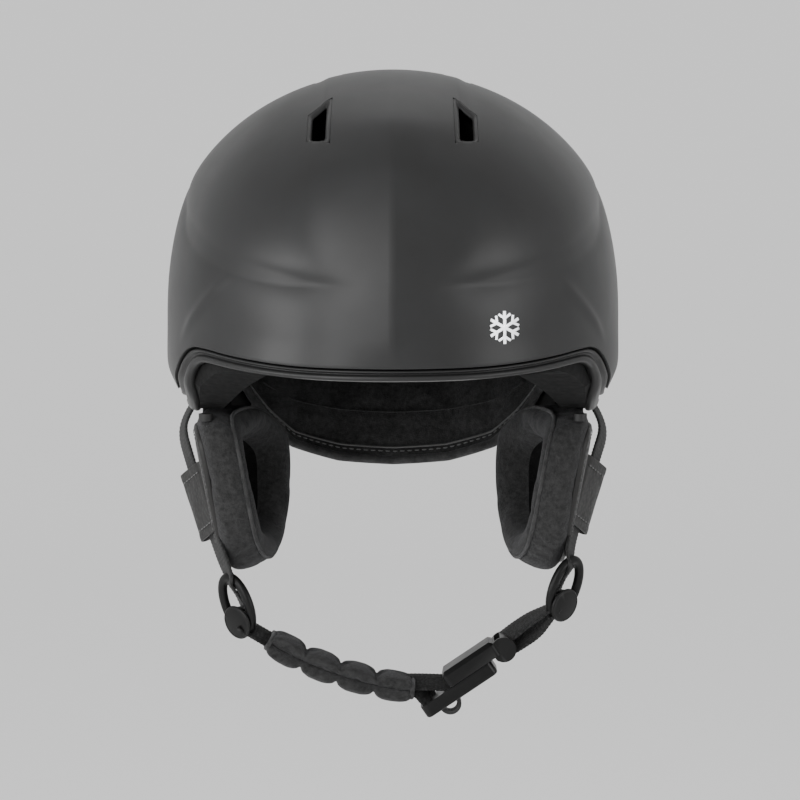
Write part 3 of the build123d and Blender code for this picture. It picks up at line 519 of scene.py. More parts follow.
FINISH = make_finishes()
SLOT_FINISH = {
    "shell": "shell", "foam": "foam", "rim": "rim", "plastic": "plastic", "badge": "badge",
    "lining": "fleece", "cover": "leather", "webbing": "webbing", "buckle": "buckle",
    "rubber": "rubber", "steel": "steel",
}  # fmt: skip


def dress_cad_nodes():
    """Gives each carried-over CAD node its finish, and softens the edges of the moulded ones."""
    slots = {row["node"]: row["material_slot"] for row in frame["record"]["subparts"]}
    for name, node in frame["nodes"].items():
        slot = slots[name]
        dark = slot == "steel" and ("snap" in name or "anchor" in name or "pin" in name)
        finish = FINISH["dark_steel" if dark else SLOT_FINISH[slot]]
        if node.material_slots:
            for each in node.material_slots:
                each.material = finish
        else:
            node.data.materials.append(finish)
        moulded = slot in ("buckle", "plastic", "rubber", "steel")
        if moulded and name not in ("vent_shutter", "headband_guides"):
            modifier(node, "WELD", merge_threshold=0.00001)
            width = 0.0004 if slot == "buckle" else 0.00025
            bevelled(node, width, 35)
            modifier(node, "WEIGHTED_NORMAL", weight=60)


# ---------------------------------------------------------------- shell, rim, bezels and badge
COLUMNS = 384
SHELL_ROWS = 150
TURNS = np.linspace(0, 2 * math.pi, COLUMNS, endpoint=False)


def shell_grid(rows, inset=0.0, lift=0.0):
    low = edge_rise(TURNS, SHELL_EDGE, inset, lift)
    share = np.linspace(0, 1, rows + 1)[1:, None]
    return surface(np.broadcast_to(TURNS, (rows, COLUMNS)), math.pi / 2 + (low - math.pi / 2) * share, inset)


def outline_planes(corners, seen):
    """For each side of an outline, a point on it and the way out, in the frame's axes."""
    middle = np.mean(corners, 0)
    for a, b in zip(corners, corners[1:] + corners[:1]):
        a, b = np.array(a, float), np.array(b, float)
        out = np.array([b[1] - a[1], a[0] - b[0]])
        if out @ (a - middle) < 0:
            out = -out
        yield seen(a), seen(out)


def from_above(p):
    return np.array([p[0], p[1], 0.0])


def from_behind(p):
    return np.array([p[0], 0.0, p[1]])


def grown(corners, amount):
    """A convex outline moved outwards by amount."""
    middle = np.mean(corners, 0)
    lines = []
    for a, b in zip(corners, corners[1:] + corners[:1]):
        a, b = np.array(a, float), np.array(b, float)
        out = unit(np.array([b[1] - a[1], a[0] - b[0]]))
        out = out if out @ (a - middle) > 0 else -out
        lines.append((out, out @ a + amount))
    turned = lines[-1:] + lines[:-1]
    pairs = [(np.array([p[0], q[0]]), np.array([p[1], q[1]])) for p, q in zip(turned, lines)]
    return [tuple(np.linalg.solve(*pair)) for pair in pairs]


def cut_hole(work, corners, seen, near):
    """Cuts the outline through the faces that near() picks, and takes out what is inside it."""
    planes = list(outline_planes(corners, seen))
    for point, out in planes:
        faces = [f for f in work.faces if near(f.calc_center_median() / MM)]
        geometry = set(faces)
        for f in faces:
            geometry.update(f.edges)
            geometry.update(f.verts)
        spot, way = Vector(point) * MM, Vector(out).normalized()
        bmesh.ops.bisect_plane(work, geom=list(geometry), plane_co=spot, plane_no=way)
    inside = [
        f
        for f in work.faces
        if near(f.calc_center_median() / MM)
        and all((np.array(f.calc_center_median()) / MM - point) @ out < 0 for point, out in planes)
    ]
    bmesh.ops.delete(work, geom=inside, context="FACES")


def between(low, point, high):
    return low[0] < point[0] < high[0] and low[1] < point[1] < high[1]


def make_shell():
    rows = shell_grid(SHELL_ROWS)
    apex = surface(np.zeros(1), np.full(1, math.pi / 2))
    points = np.vstack([rows.reshape(-1, 3), apex])
    faces = grid_faces(SHELL_ROWS, COLUMNS)
    top = SHELL_ROWS * COLUMNS
    faces += [(k, top, (k + 1) % COLUMNS) for k in range(COLUMNS)]
    shell = outward(piece("shell", points, faces, FINISH["shell"], slot="shell", replaces=["outer_shell"]))
    if shell.data.polygons[0].normal.z < 0:
        shell.data.flip_normals()

    work = bmesh.new()
    work.from_mesh(shell.data)
    for side in (-1, 1):
        for corners in (FRONT_VENT, TOP_VENT):
            hole = [(side * x, y) for x, y in grown(corners, BEZEL_W)]
            lo, hi = np.min(hole, 0) - 4, np.max(hole, 0) + 4
            cut_hole(work, hole, from_above, lambda c: c.z > 90 and between(lo, c.xy, hi))
        hole = [(side * x, z) for x, z in grown(REAR_VENT, BEZEL_W)]
        lo, hi = np.min(hole, 0) - 4, np.max(hole, 0) + 4
        cut_hole(work, hole, from_behind, lambda c: c.y > 60 and between(lo, c.xz, hi))
    half, front, back = SLIDER_SLOT
    slot = [(-half, front), (half, front), (half, back), (-half, back)]
    lo, hi = (-half - 4, front - 4), (half + 4, back + 4)
    cut_hole(work, slot, from_above, lambda c: c.z > 100 and between(lo, c.xy, hi))
    work.to_mesh(shell.data)
    work.free()
    shell.data.polygons.foreach_set("use_smooth", [True] * len(shell.data.polygons))
    modifier(shell, "SOLIDIFY", thickness=SHELL_T * MM, offset=-1)
    bevelled(shell, 0.6 * MM, 60)
    return shell


def make_rim():
    """The band below the shell: a ridge, a groove and a lower band, turned in underneath to the foam."""
    inset = 1.0
    top = edge_rise(TURNS, SHELL_EDGE, inset, -SEAM)
    bottom = edge_rise(TURNS, RIM_EDGE, inset, 0.0)
    bottom = np.minimum(bottom, top - 0.012)
    profile = [(0.0, 2.2), (0.0, 0.5), (0.05, 0.0), (0.12, -0.3), (0.19, -0.2), (0.25, 0.5)]
    profile += [(0.29, 1.5), (0.38, 1.8), (0.46, 1.6), (0.51, 0.7), (0.56, 0.25), (0.70, 0.0)]
    profile += [(0.86, 0.1), (0.95, 0.5), (1.0, 1.5)]
    rings = [surface(TURNS, top + (bottom - top) * share, inset + inward) for share, inward in profile]
    foot = rings[-1]
    for inward, lift in ((2.6, -0.35), (3.8, -0.2), (4.6, 0.4), (5.0, 1.5)):
        ring = surface(TURNS, bottom, inset + inward)
        rings.append(np.column_stack([ring[:, :2], foot[:, 2] + lift]))
    low_wall = surface(TURNS, bottom, inset + 4.0)
    rings.append(np.column_stack([low_wall[:, :2], foot[:, 2] + 3.0]))
    rings.append(surface(TURNS, top, inset + 3.4))
    points = np.stack(rings)
    rim = piece(
        "rim_band", points.reshape(-1, 3), grid_faces(len(rings), COLUMNS, True, True), FINISH["rim"],
        slot="rim", replaces=["lower_rim"],
    )  # fmt: skip
    return outward(rim)


def warped_copy(node, name, finish, slot, bevel=0.2):
    """A CAD node's shape, carried out to the styled surface."""
    mesh = frame["nodes"][node].data
    points = np.array([v.co for v in mesh.vertices], float) / MM
    ray = unit(points - CENTRE)
    points = points + ray * features(points)[..., None]
    work = piece(name, points, [tuple(p.vertices) for p in mesh.polygons], finish, slot=slot, replaces=[node])
    modifier(work, "WELD", merge_threshold=0.00001)
    bevelled(work, bevel * MM, 40)
    modifier(work, "WEIGHTED_NORMAL", weight=60)
    return work


def make_bezels():
    """Funnel-shaped frames in the vents, with a short duct behind each."""
    outer = BVHTree.FromPolygons(*whole_surface())
    for name, corners in (("front", FRONT_VENT), ("top", TOP_VENT), ("rear", REAR_VENT)):
        rear = name == "rear"
        points, faces = [], []
        for side in (-1, 1):
            wide = outline_samples([(side * x, v) for x, v in grown(corners, BEZEL_W - 0.1)])
            narrow = outline_samples([(side * x, v) for x, v in corners])
            rings = []
            duct = 9.0 if rear else 2.5  # the shutter passes under the others
            lip = wide * 0.75 + narrow * 0.25
            for outline, depth in ((wide, 2.4), (wide, 0.25), (lip, 0.3), (narrow, 1.7), (narrow, duct)):
                rings.append([sunk(outer, p, depth, rear) for p in outline])
            base = len(points)
            points += [p for ring in rings for p in ring]
            quads = grid_faces(len(rings), len(wide))
            faces += [tuple(base + i for i in q) for q in quads]
        bezel = piece(
            f"vent_bezels_{name}_seen", points, faces, FINISH["rim"], slot="rim",
            replaces=[f"vent_bezels_{name}"],
        )  # fmt: skip
        modifier(outward(bezel), "SOLIDIFY", thickness=0.3 * MM, offset=0)


def whole_surface():
    rows = surface(np.broadcast_to(TURNS, (90, COLUMNS)), np.linspace(1.55, -0.3, 90)[:, None] + 0 * TURNS)
    return [tuple(p) for p in rows.reshape(-1, 3)], grid_faces(90, COLUMNS)


def outline_samples(corners, per_side=9):
    corners = np.array(corners, float)
    out = []
    for a, b in zip(corners, np.roll(corners, -1, 0)):
        for share in np.linspace(0.06, 0.94, per_side):
            out.append(a + (b - a) * share)
    return np.array(out)


def sunk(tree, p, depth, rear):
    """A point of an outline on the outer surface, pushed in by depth."""
    if rear:
        origin, way = Vector((p[0], 300, p[1])), Vector((0, -1, 0))
    else:
        origin, way = Vector((p[0], p[1], 300)), Vector((0, 0, -1))
    spot = tree.ray_cast(origin, way)[0]
    return np.array(spot) + np.array(way) * depth


# ---------------------------------------------------------------- soft pieces
def inflate(obj, pinned, pressure=4.0, spare=0.03, cap=4.0, frames=18):
    """Fills a closed fabric form with air by cloth simulation. pinned are the vertices held at the seams."""
    rest = np.array([v.co for v in obj.data.vertices], float)
    group = obj.vertex_groups.new(name="seams")
    group.add([int(i) for i in pinned], 1.0, "REPLACE")
    cloth = modifier(obj, "CLOTH")
    settings = cloth.settings
    settings.quality = 6
    settings.mass = 0.25
    settings.tension_stiffness = settings.compression_stiffness = 12
    settings.shear_stiffness = 6
    settings.bending_stiffness = 0.6
    settings.use_pressure = True
    settings.uniform_pressure_force = pressure
    settings.shrink_min = -spare
    settings.vertex_group_mass = "seams"
    settings.effector_weights.gravity = 0
    cloth.collision_settings.use_collision = False
    cloth.point_cache.frame_start, cloth.point_cache.frame_end = 1, frames
    scene = bpy.context.scene
    for number in range(1, frames + 1):
        scene.frame_set(number)
    evaluated = obj.evaluated_get(bpy.context.evaluated_depsgraph_get())
    moved = np.array([v.co for v in evaluated.data.vertices], float)
    obj.modifiers.remove(cloth)
    scene.frame_set(1)
    shift = np.nan_to_num(moved - rest)
    size = np.linalg.norm(shift, axis=1, keepdims=True)
    shift *= np.minimum(1, cap * MM / np.maximum(size, 1e-9))
    obj.data.vertices.foreach_set("co", (rest + shift).ravel())
    obj.data.update()
    return obj


def finish_soft(obj):
    modifier(obj, "SUBSURF", levels=1, render_levels=1)
    applied(obj)
    obj.data.polygons.foreach_set("use_smooth", [True] * len(obj.data.polygons))
    return obj


def patch_pad(name, place, columns, rows, node, cap=2.0, quilt=(), rim=0.12):
    """A thin fleece pad. place(u, v, t) maps a unit square and a depth: t 0 is the seen face, 1 the back."""
    u = np.linspace(0, 1, columns)
    v = np.linspace(0, 1, rows)
    points, index = [], {}

    def add(i, j, layer, depth, pull):
        a = 0.5 + (u[i] - 0.5) * pull
        b = 0.5 + (v[j] - 0.5) * pull
        index[(i, j, layer)] = len(points)
        points.append(place(a, b, depth))

    for j in range(rows):
        for i in range(columns):
            border = i in (0, columns - 1) or j in (0, rows - 1)
            add(i, j, 0, rim if border else 0.0, 1.0)
            add(i, j, 1, 1.0, 0.985)
    faces = []
    for j in range(rows - 1):
        for i in range(columns - 1):
            q = [(i, j), (i + 1, j), (i + 1, j + 1), (i, j + 1)]
            faces.append(tuple(index[(*c, 0)] for c in q))
            faces.append(tuple(index[(*c, 1)] for c in q)[::-1])
    loop = [(i, 0) for i in range(columns)] + [(columns - 1, j) for j in range(1, rows)]
    loop += [(i, rows - 1) for i in range(columns - 2, -1, -1)] + [(0, j) for j in range(rows - 2, 0, -1)]
    for a, b in zip(loop, loop[1:] + loop[:1]):
        faces.append((index[(*a, 1)], index[(*b, 1)], index[(*b, 0)], index[(*a, 0)]))
    pad = outward(piece(name, points, faces, FINISH["fleece"], slot="lining", replaces=[node]))
    pinned = [index[(i, j, 1)] for i in range(columns) for j in range(rows)]
    pinned += [index[(i, j, 0)] for i, j in loop]
    pinned += [index[(i, j, 0)] for i in range(columns) for j in range(rows) if i in quilt]
    inflate(pad, pinned, cap=cap)
    return finish_soft(pad)


def cavity_pad(name, node, z_low, z_high, a, b, columns, rows):
    """A comfort pad on the head space's wall, between two heights and two angles from the back."""
    axes, middle = (82.6, 101.6, 94.6), 30.0

    def place(u, v, t):
        z = z_low + (z_high - z_low) * v
        turn = math.radians(a + (b - a) * u)
        inset = 5.0 * (1 - t)
        x_axis, y_axis, z_axis = (axis - inset for axis in axes)
        shrink = math.sqrt(max(0.0, 1 - max(0.0, (z - middle) / z_axis) ** 2))
        reach = 1 / math.hypot(math.sin(turn) / (x_axis * shrink), math.cos(turn) / (y_axis * shrink))
        return np.array([reach * math.sin(turn), reach * math.cos(turn), z])

    return patch_pad(name, place, columns, rows, node, cap=1.2)


def make_comfort_pads():
    cavity_pad("brow_cushion", "brow_pad", 22.5, 49.5, 129, 231, 60, 12)
    cavity_pad("side_cushion_left", "side_pad_left", 22.5, 45.5, 63, 121, 34, 10)
    cavity_pad("side_cushion_right", "side_pad_right", 22.5, 45.5, -121, -63, 34, 10)
    cavity_pad("rear_cushion", "rear_pad", 24.5, 49.5, -53, 53, 60, 12)

    def crown_place(u, v, t):
        x, y = -24.0 + 48 * u, 5 - 59 + 118 * v
        inset = 5.4 - 5.0 * t
        axes = [axis - inset for axis in (83.0, 102.0, 95.0)]
        return np.array([x, y, 30 + axes[2] * math.sqrt(1 - (x / axes[0]) ** 2 - (y / axes[1]) ** 2)])

    patch_pad("crown_cushion", crown_place, 22, 46, "crown_pad", cap=1.5, quilt=(7, 14))


def fit_place(x, y, z):
    """A point of the fit system's tilted frame."""
    c, s = math.cos(DIAL_TILT), math.sin(DIAL_TILT)
    return np.array([x, DIAL_CENTRE[0] + y * c + z * s, DIAL_CENTRE[1] - y * s + z * c])


# The collar's outline in the fit system's frame: (degrees from the back, lower edge, upper edge).
COLLAR = [(0, -20.0, 34), (20, -19.0, 34), (39, -14.4, 33), (52.6, -4.0, 31), (64, 7.5, 27), (74, 13.0, 23)]


def collar_point(degrees_round, share, out):
    """A point of the collar. share runs from its lower edge to its upper one, out from its inner face."""
    side = math.copysign(1, degrees_round)
    turns, lows, highs = zip(*COLLAR)
    low = np.interp(abs(degrees_round), turns, lows)
    high = np.interp(abs(degrees_round), turns, highs)
    z = low + (high - low) * share
    a = math.radians(abs(degrees_round))
    lean = max(0.0, z) * 0.10
    reach = 76.4 + lean + out
    return fit_place(side * reach * math.sin(a), reach * math.cos(a), z)


def make_neck_pad():
    """The fleece collar behind the head: a pale rolled hem below a panel that a seam parts into a lower band
    and an upper one.
    """
    spread = 74.0
    columns = 91

    def place(u, v, t):
        return collar_point(-spread + 2 * spread * u, v, 4.2 * t)

    patch_pad("neck_roll", place, columns, 22, "neck_pad", cap=1.6, quilt=(22, 45, 68))
    turns = np.linspace(-spread, spread, 161)
    hem = np.array([collar_point(a, 0.0, 1.4) for a in turns])
    tube("neck_hem", hem, 2.2, FINISH["fleece_band"], slot="lining", sides=14)
    seam = np.array([collar_point(a, 0.11, -0.3) for a in turns])
    tube("neck_hem_seam", seam, 0.45, FINISH["thread"], slot="lining")
    normals = unit(seam * np.array([-1, -1, 0]))
    row = np.array([collar_point(a, 0.075, -0.6) for a in turns])
    stitches("neck_hem_stitches", row, normals, FINISH["thread"], slot="lining")
    middle = np.array([collar_point(a, 0.44, -0.9) for a in np.linspace(-56, 56, 120)])
    tube("neck_middle_seam", middle, 0.5, FINISH["fleece"], slot="lining")


# ---------------------------------------------------------------- ear pads
EAR_TILT = math.radians(11)
EAR_PIVOT = (80.0, -4.0)  # (x, z)
EAR_CENTRE_Y = -20.0
EAR_INNER, EAR_OUTER = (66.0, 92.0), (91.0, 111.0)
EAR_MIDDLE = np.array([-4.0, -40.0])  # (y, z) of the ear cup
EAR_OUTLINE = [(-46, -4.6), (12, -4.6), (42, -17), (42, -34), (28, -62)]
EAR_OUTLINE += [(4, -79), (-18, -79), (-38, -62), (-46, -30)]
EAR_COLUMNS = 120
EAR_FLARE = 7.5  # the front edge of the inner face stands this much further out
EAR_RISE = 2.2  # and the top comes this much closer to the rim


def ear_point(y, z, depth, side):
    """A point of the ear pad: depth 0 is its inner face, 1 its outer face."""
    x_axis = EAR_INNER[0] + depth * (EAR_OUTER[0] - EAR_INNER[0])
    y_axis = EAR_INNER[1] + depth * (EAR_OUTER[1] - EAR_INNER[1])
    x = x_axis * np.sqrt(1 - ((y - EAR_CENTRE_Y) / y_axis) ** 2) - EAR_PIVOT[0]
    x = x + (1 - np.minimum(depth, 1)) * EAR_FLARE * smoothstep(12, -46, y)
    z = z - EAR_PIVOT[1] + EAR_RISE * smoothstep(-22, -5, z)
    c, s = math.cos(EAR_TILT), math.sin(EAR_TILT)
    return np.stack([side * (EAR_PIVOT[0] + x * c + z * s), y, EAR_PIVOT[1] - x * s + z * c], -1)


def ear_ring(scale, depth, side, shrink=0.0):
    outline = spaced(rounded(EAR_OUTLINE, 3, True), count=EAR_COLUMNS, closed=True)
    away = outline - EAR_MIDDLE
    line = EAR_MIDDLE + away * scale - unit(away) * shrink
    return ear_point(line[:, 0], line[:, 1], depth, side)


# The cushion's section, from the middle of the cup outwards: (scale of the outline, depth, held by a seam).
EAR_SECTION = [
    (0.10, 0.74, 0), (0.25, 0.74, 0), (0.42, 0.72, 0), (0.52, 0.66, 1), (0.57, 0.46, 0), (0.60, 0.26, 0),
    (0.65, 0.12, 0), (0.72, 0.03, 0), (0.80, 0.02, 0), (0.87, 0.08, 0), (0.92, 0.17, 1), (0.955, 0.26, 0),
    (0.985, 0.38, 0), (0.99, 0.52, 0), (0.99, 0.68, 0), (0.985, 0.82, 0), (0.965, 0.95, 1), (0.85, 0.985, 0),
    (0.6, 0.985, 0), (0.3, 0.985, 0), (0.1, 0.985, 1),
]  # fmt: skip


def make_ear_pad(name, side):
    rings = np.stack([ear_ring(scale, depth, side) for scale, depth, _ in EAR_SECTION])
    points = list(rings.reshape(-1, 3))
    points += [ear_point(*EAR_MIDDLE, EAR_SECTION[end][1], side) for end in (0, -1)]
    faces = grid_faces(len(EAR_SECTION), EAR_COLUMNS)
    first, last = len(points) - 2, len(points) - 1
    base = (len(EAR_SECTION) - 1) * EAR_COLUMNS
    for k in range(EAR_COLUMNS):
        faces.append((k, (k + 1) % EAR_COLUMNS, first)[::-1])
        faces.append((base + k, base + (k + 1) % EAR_COLUMNS, last))
    pad = outward(
        piece(
            f"ear_cushion_{name}", points, faces, FINISH["fleece"], slot="lining",
            replaces=[f"ear_pad_{name}"],
        )
    )  # fmt: skip
    pad.data.materials.append(FINISH["cup"])
    for face in pad.data.polygons:
        inner = [i // EAR_COLUMNS < 5 or i == first for i in face.vertices]
        face.material_index = int(all(inner))
    pinned = [r * EAR_COLUMNS + c for r, row in enumerate(EAR_SECTION) if row[2] for c in range(EAR_COLUMNS)]
    inflate(pad, pinned + [last], pressure=5.0, cap=2.6)
    finish_soft(pad)
    for kind, scale, depth in (("inner", 0.925, 0.155), ("cup", 0.52, 0.64)):
        tube(
            f"ear_piping_{kind}_{name}", ear_ring(scale, depth, side), 0.9 if kind == "inner" else 0.6,
            FINISH["fleece_band"], closed=True, slot="lining",
        )  # fmt: skip


def make_ear_cover(name, side):
    """The leatherette back of the ear pad, rolled over its edge, with a stitched seam."""
    section = [
        (0.93, 0.95, 0.0), (0.965, 0.965, 0.3), (0.985, 1.0, 0.6), (0.98, 1.06, 1.0), (0.95, 1.10, 0.8),
        (0.92, 1.085, 0.2), (0.90, 1.085, 0.2), (0.86, 1.115, 0.8), (0.70, 1.125, 1.0), (0.45, 1.12, 1.0),
        (0.2, 1.12, 1.0), (0.05, 1.12, 1.0), (0.05, 1.02, 0.0), (0.45, 1.02, 0.0), (0.9, 1.01, 0.0),
    ]  # fmt: skip
    rings = np.stack([ear_ring(scale, depth, side, 3.6) for scale, depth, _ in section])
    faces = grid_faces(len(section), EAR_COLUMNS, True, True)
    cover = outward(
        piece(
            f"ear_back_{name}", rings.reshape(-1, 3), faces, FINISH["leather"], slot="cover",
            replaces=[f"ear_pad_cover_{name}"],
        )
    )  # fmt: skip
    modifier(cover, "SUBSURF", levels=1, render_levels=1)
    applied(cover)
    cover.data.polygons.foreach_set("use_smooth", [True] * len(cover.data.polygons))
    path = ear_ring(0.91, 1.10, side, 3.6)
    normals = ear_ring(0.91, 1.3, side, 3.6) - path
    stitches(f"ear_back_stitches_{name}", path, unit(normals), FINISH["thread"], closed=True, slot="cover")


# ---------------------------------------------------------------- straps and sleeves
WEB_W = 16.0
STRAP_TILT = math.radians(17)
STRAP_FOOT = (-30.0, -79.0)  # (y, z)
STRAP_TURN, SLEEVE_TURN = math.radians(15), math.radians(26)  # how far their faces look forwards
STRAP_TOP = [(89.2, 6.6), (91.6, 1.0), (96.4, -6.5), (98.4, -14.0)]
FRONT_STRAP = {
    "right": STRAP_TOP + [(95.0, -25.5), (81.5, -65.5), (75.6, -79.0)],
    "left": STRAP_TOP + [(94.8, -24.5), (83.4, -60.0), (81.6, -71.0)],
}
REAR_TOP = [(82.6, 46.0, 1.4), (83.4, 44.0, -7.0), (85.6, 27.0, -32.0)]
REAR_STRAP = {
    "right": REAR_TOP + [(82.8, 2.0, -60.0), (78.4, -20.0, -75.0)],
    "left": REAR_TOP + [(84.4, 4.0, -54.0), (82.9, -19.0, -67.0)],
}
DIVIDER = {"right": (-72.2, -29.0, -92.6), "left": (79.6, -29.0, -84.6)}
DIVIDER_LEAN, DIVIDER_TURN = math.radians(19), math.radians(50)
SIDES = {"left": 1, "right": -1}
SLEEVE_L = 33.0
CHIN_Y = -28.0


def divider_point(name, x, y, z):
    """A point of a divider's own frame: y along the strap, z out of its face."""
    side = SIDES[name]
    up = np.array([side * math.sin(DIVIDER_LEAN), 0, math.cos(DIVIDER_LEAN)])
    across = np.array([math.cos(DIVIDER_LEAN), 0, -side * math.sin(DIVIDER_LEAN)])
    facing = np.array([0, -math.cos(DIVIDER_TURN), 0]) + across * side * math.sin(DIVIDER_TURN)
    return np.array(DIVIDER[name]) + x * np.cross(up, facing) + y * up + z * facing


def make_divider(name):
    """An oval ring with two bars, and the oval disc that clamps the webbing on it."""
    turn = np.linspace(0, 2 * math.pi, 72, endpoint=False)
    ring = np.stack([8.7 * np.cos(turn), 13.2 * np.sin(turn)], 1)
    away = unit(np.stack([np.cos(turn) / 8.7, np.sin(turn) / 13.2], 1))
    section = [(2.3, -0.9), (2.45, 0.0), (2.3, 0.9), (1.5, 1.9), (0.3, 2.2), (-1.2, 1.9)]
    section += [(-2.0, 1.0), (-2.25, 0), (-2.0, -1.0), (-1.2, -1.9), (0.3, -2.2), (1.5, -1.9)]
    points = [divider_point(name, *(ring[k] + away[k] * r), z) for r, z in section for k in range(len(turn))]
    seen = outward(
        piece(
            f"divider_ring_{name}", points, grid_faces(len(section), len(turn), True, True), FINISH["buckle"],
            slot="buckle", replaces=[f"divider_frame_{name}"],
        )
    )  # fmt: skip
    modifier(seen, "SUBSURF", levels=1, render_levels=1)
    for k, (y, half, radius) in enumerate(((-2.6, 7.4, 1.5), (-10.4, 5.2, 1.3))):
        bar = [divider_point(name, x, y, -0.3) for x in np.linspace(-half, half, 12)]
        tube(f"divider_bar_{name}_{k}", np.array(bar), radius, FINISH["buckle"], slot="buckle", sides=12)

    outline = np.stack([9.0 * np.cos(turn), -7.7 + 8.1 * np.sin(turn)], 1)
    middle = np.array([0.0, -7.7])
    profile = [(0.30, 2.50), (0.90, 2.50), (0.965, 2.65), (1.0, 3.1), (0.99, 3.6), (0.95, 4.0), (0.90, 4.12)]
    profile += [(0.86, 4.02), (0.82, 4.05), (0.55, 4.3), (0.28, 4.42), (0.04, 4.45)]
    points = [
        divider_point(name, *(middle + (p - middle) * share), z) for share, z in profile for p in outline
    ]
    count = len(turn)
    faces = grid_faces(len(profile), count)
    faces += [tuple(range(count)), tuple((len(profile) - 1) * count + k for k in range(count))]
    disc = outward(
        piece(
            f"divider_disc_{name}", points, faces, FINISH["buckle"], body=f"lock_{name}", slot="buckle",
            replaces=[f"divider_lock_{name}"],
        )
    )  # fmt: skip
    bevelled(disc, 0.15 * MM, 50)


def front_line(name):
    """The front strap's middle line, with its lower end threaded into the divider."""
    side = SIDES[name]
    lean = math.tan(STRAP_TILT)
    points = [(side * x, STRAP_FOOT[0] + (z - STRAP_FOOT[1]) * lean, z) for x, z in FRONT_STRAP[name]]
    threaded = ((11.0, 0.6), (6.5, -1.2), (0.5, -3.2), (-6.0, -3.4), (-11.0, -3.0))
    return points + [tuple(divider_point(name, 0, y, z)) for y, z in threaded]


def make_straps():
    for name, side in SIDES.items():
        line = rounded(front_line(name), 3)
        out = np.array([side * math.cos(STRAP_TURN), -math.sin(STRAP_TURN), 0.0]) + 0 * line
        webbing(
            f"front_webbing_{name}", line, out, WEB_W, FINISH["webbing"], slot="webbing",
            replaces=[f"front_strap_{name}"], taper=([0, 0.74, 0.84, 1], [WEB_W, WEB_W, 12.6, 12.0]),
        )  # fmt: skip
        rear = [(side * x, y, z) for x, y, z in REAR_STRAP[name]]
        rear += [tuple(divider_point(name, 0.8, y, z)) for y, z in ((8.0, -2.4), (1.0, -4.6), (-7.0, -4.8))]
        webbing(
            f"rear_webbing_{name}", rounded(rear, 3), (side, 0, 0), 12.0, FINISH["webbing"], slot="webbing",
            replaces=[f"rear_strap_{name}"], taper=([0, 0.8, 1], [12, 12, 11]),
        )  # fmt: skip
        make_sleeve(name, side)
        make_divider(name)


def make_sleeve(name, side):
    """A flat leatherette tube over the front strap, hemmed at both ends."""
    (x0, z0), (x1, z1) = FRONT_STRAP[name][4:6]
    lean = math.tan(STRAP_TILT)
    top = np.array([side * x0, STRAP_FOOT[0] + (z0 - STRAP_FOOT[1]) * lean, z0])
    foot = np.array([side * x1, STRAP_FOOT[0] + (z1 - STRAP_FOOT[1]) * lean, z1])
    middle, along = (top + foot) / 2, unit(top - foot)
    face = np.array([side * math.cos(SLEEVE_TURN), -math.sin(SLEEVE_TURN), 0])
    out = unit(face - along * (face @ along))
    across = np.cross(along, out) * side
    half_w, half_t = 11.9, 2.6
    turn = np.linspace(0, 2 * math.pi, 64, endpoint=False)
    section = np.stack([np.sign(np.cos(turn)) * np.abs(np.cos(turn)) ** 0.32 * half_w,
                        np.sign(np.sin(turn)) * np.abs(np.sin(turn)) ** 0.75 * half_t], 1)  # fmt: skip
    half_rows = [(-1.0, -0.9), (-1.0, 0.0), (-0.985, 0.28), (-0.80, 0.34), (-0.77, -0.05)]
    half_rows += [(-0.7, 0.0), (-0.35, 0.22)]
    rows = half_rows + [(0.0, 0.05)] + [(-s, g) for s, g in half_rows[::-1]]
    rings = []
    for share, grow in rows:
        size = section * (1 + grow / half_t * np.array([0.02, 1.0]))
        if grow < -0.5:
            size = section * np.array([0.95, 0.55])
        wave = 0.25 * np.sin(section[:, 0] * 0.5 + share * 2)
        height = size[:, 1:] + wave[:, None] * (1 - abs(share))
        rings.append(middle + along * share * SLEEVE_L / 2 + across * size[:, :1] + out * height)
    for share in (0.98, -0.98):
        spot = middle + along * share * (SLEEVE_L / 2 - 0.5)
        rings.append(spot + across * section[:, :1] * 0.94 + out * section[:, 1:] * 0.5)
    rings = np.stack(rings)
    sleeve = outward(
        piece(
            f"sleeve_{name}", rings.reshape(-1, 3), grid_faces(len(rings), len(turn), True, True),
            FINISH["leather"], slot="cover", replaces=[f"strap_sleeve_{name}"],
        )
    )  # fmt: skip
    modifier(sleeve, "SUBSURF", levels=1, render_levels=1)
    for share in (-0.72, 0.72):
        for face in (1, -1):
            spot = middle + along * share * SLEEVE_L / 2
            widths = np.linspace(-9.8, 9.8, 24)
            line = np.stack([spot + across * w + out * face * half_t * 1.02 for w in widths])
            stitches(
                f"sleeve_stitches_{name}_{'top' if share > 0 else 'foot'}_{'out' if face > 0 else 'in'}",
                line,
                np.broadcast_to(out * face, line.shape), FINISH["thread"], slot="cover", length=2.0, gap=1.1,
            )  # fmt: skip


# ---------------------------------------------------------------- chin pad and straps
CHIN_PAD = [(-57.0, -109.5), (-27.0, -123.8), (9.0, -132.0)]  # (x, z)
BUCKLE_END = (17.5, -139.4)
BUCKLE_SLOPE = math.radians(34)
LATCH_PIVOT = (65.0, CHIN_Y, -98.5)
CHIN_SEGMENTS = 4


def arc_through(a, b, c, count):
    """Points of the arc through three points of a plane."""
    a, b, c = (np.array(p, float) for p in (a, b, c))
    system = 2 * np.array([b - a, c - a])
    centre = np.linalg.solve(system, np.array([b @ b - a @ a, c @ c - a @ a]))
    angles = [math.atan2(*(p - centre)[::-1]) for p in (a, b, c)]
    radius = np.linalg.norm(a - centre)
    turn = np.linspace(angles[0], angles[2], count)
    return centre + radius * np.stack([np.cos(turn), np.sin(turn)], 1)


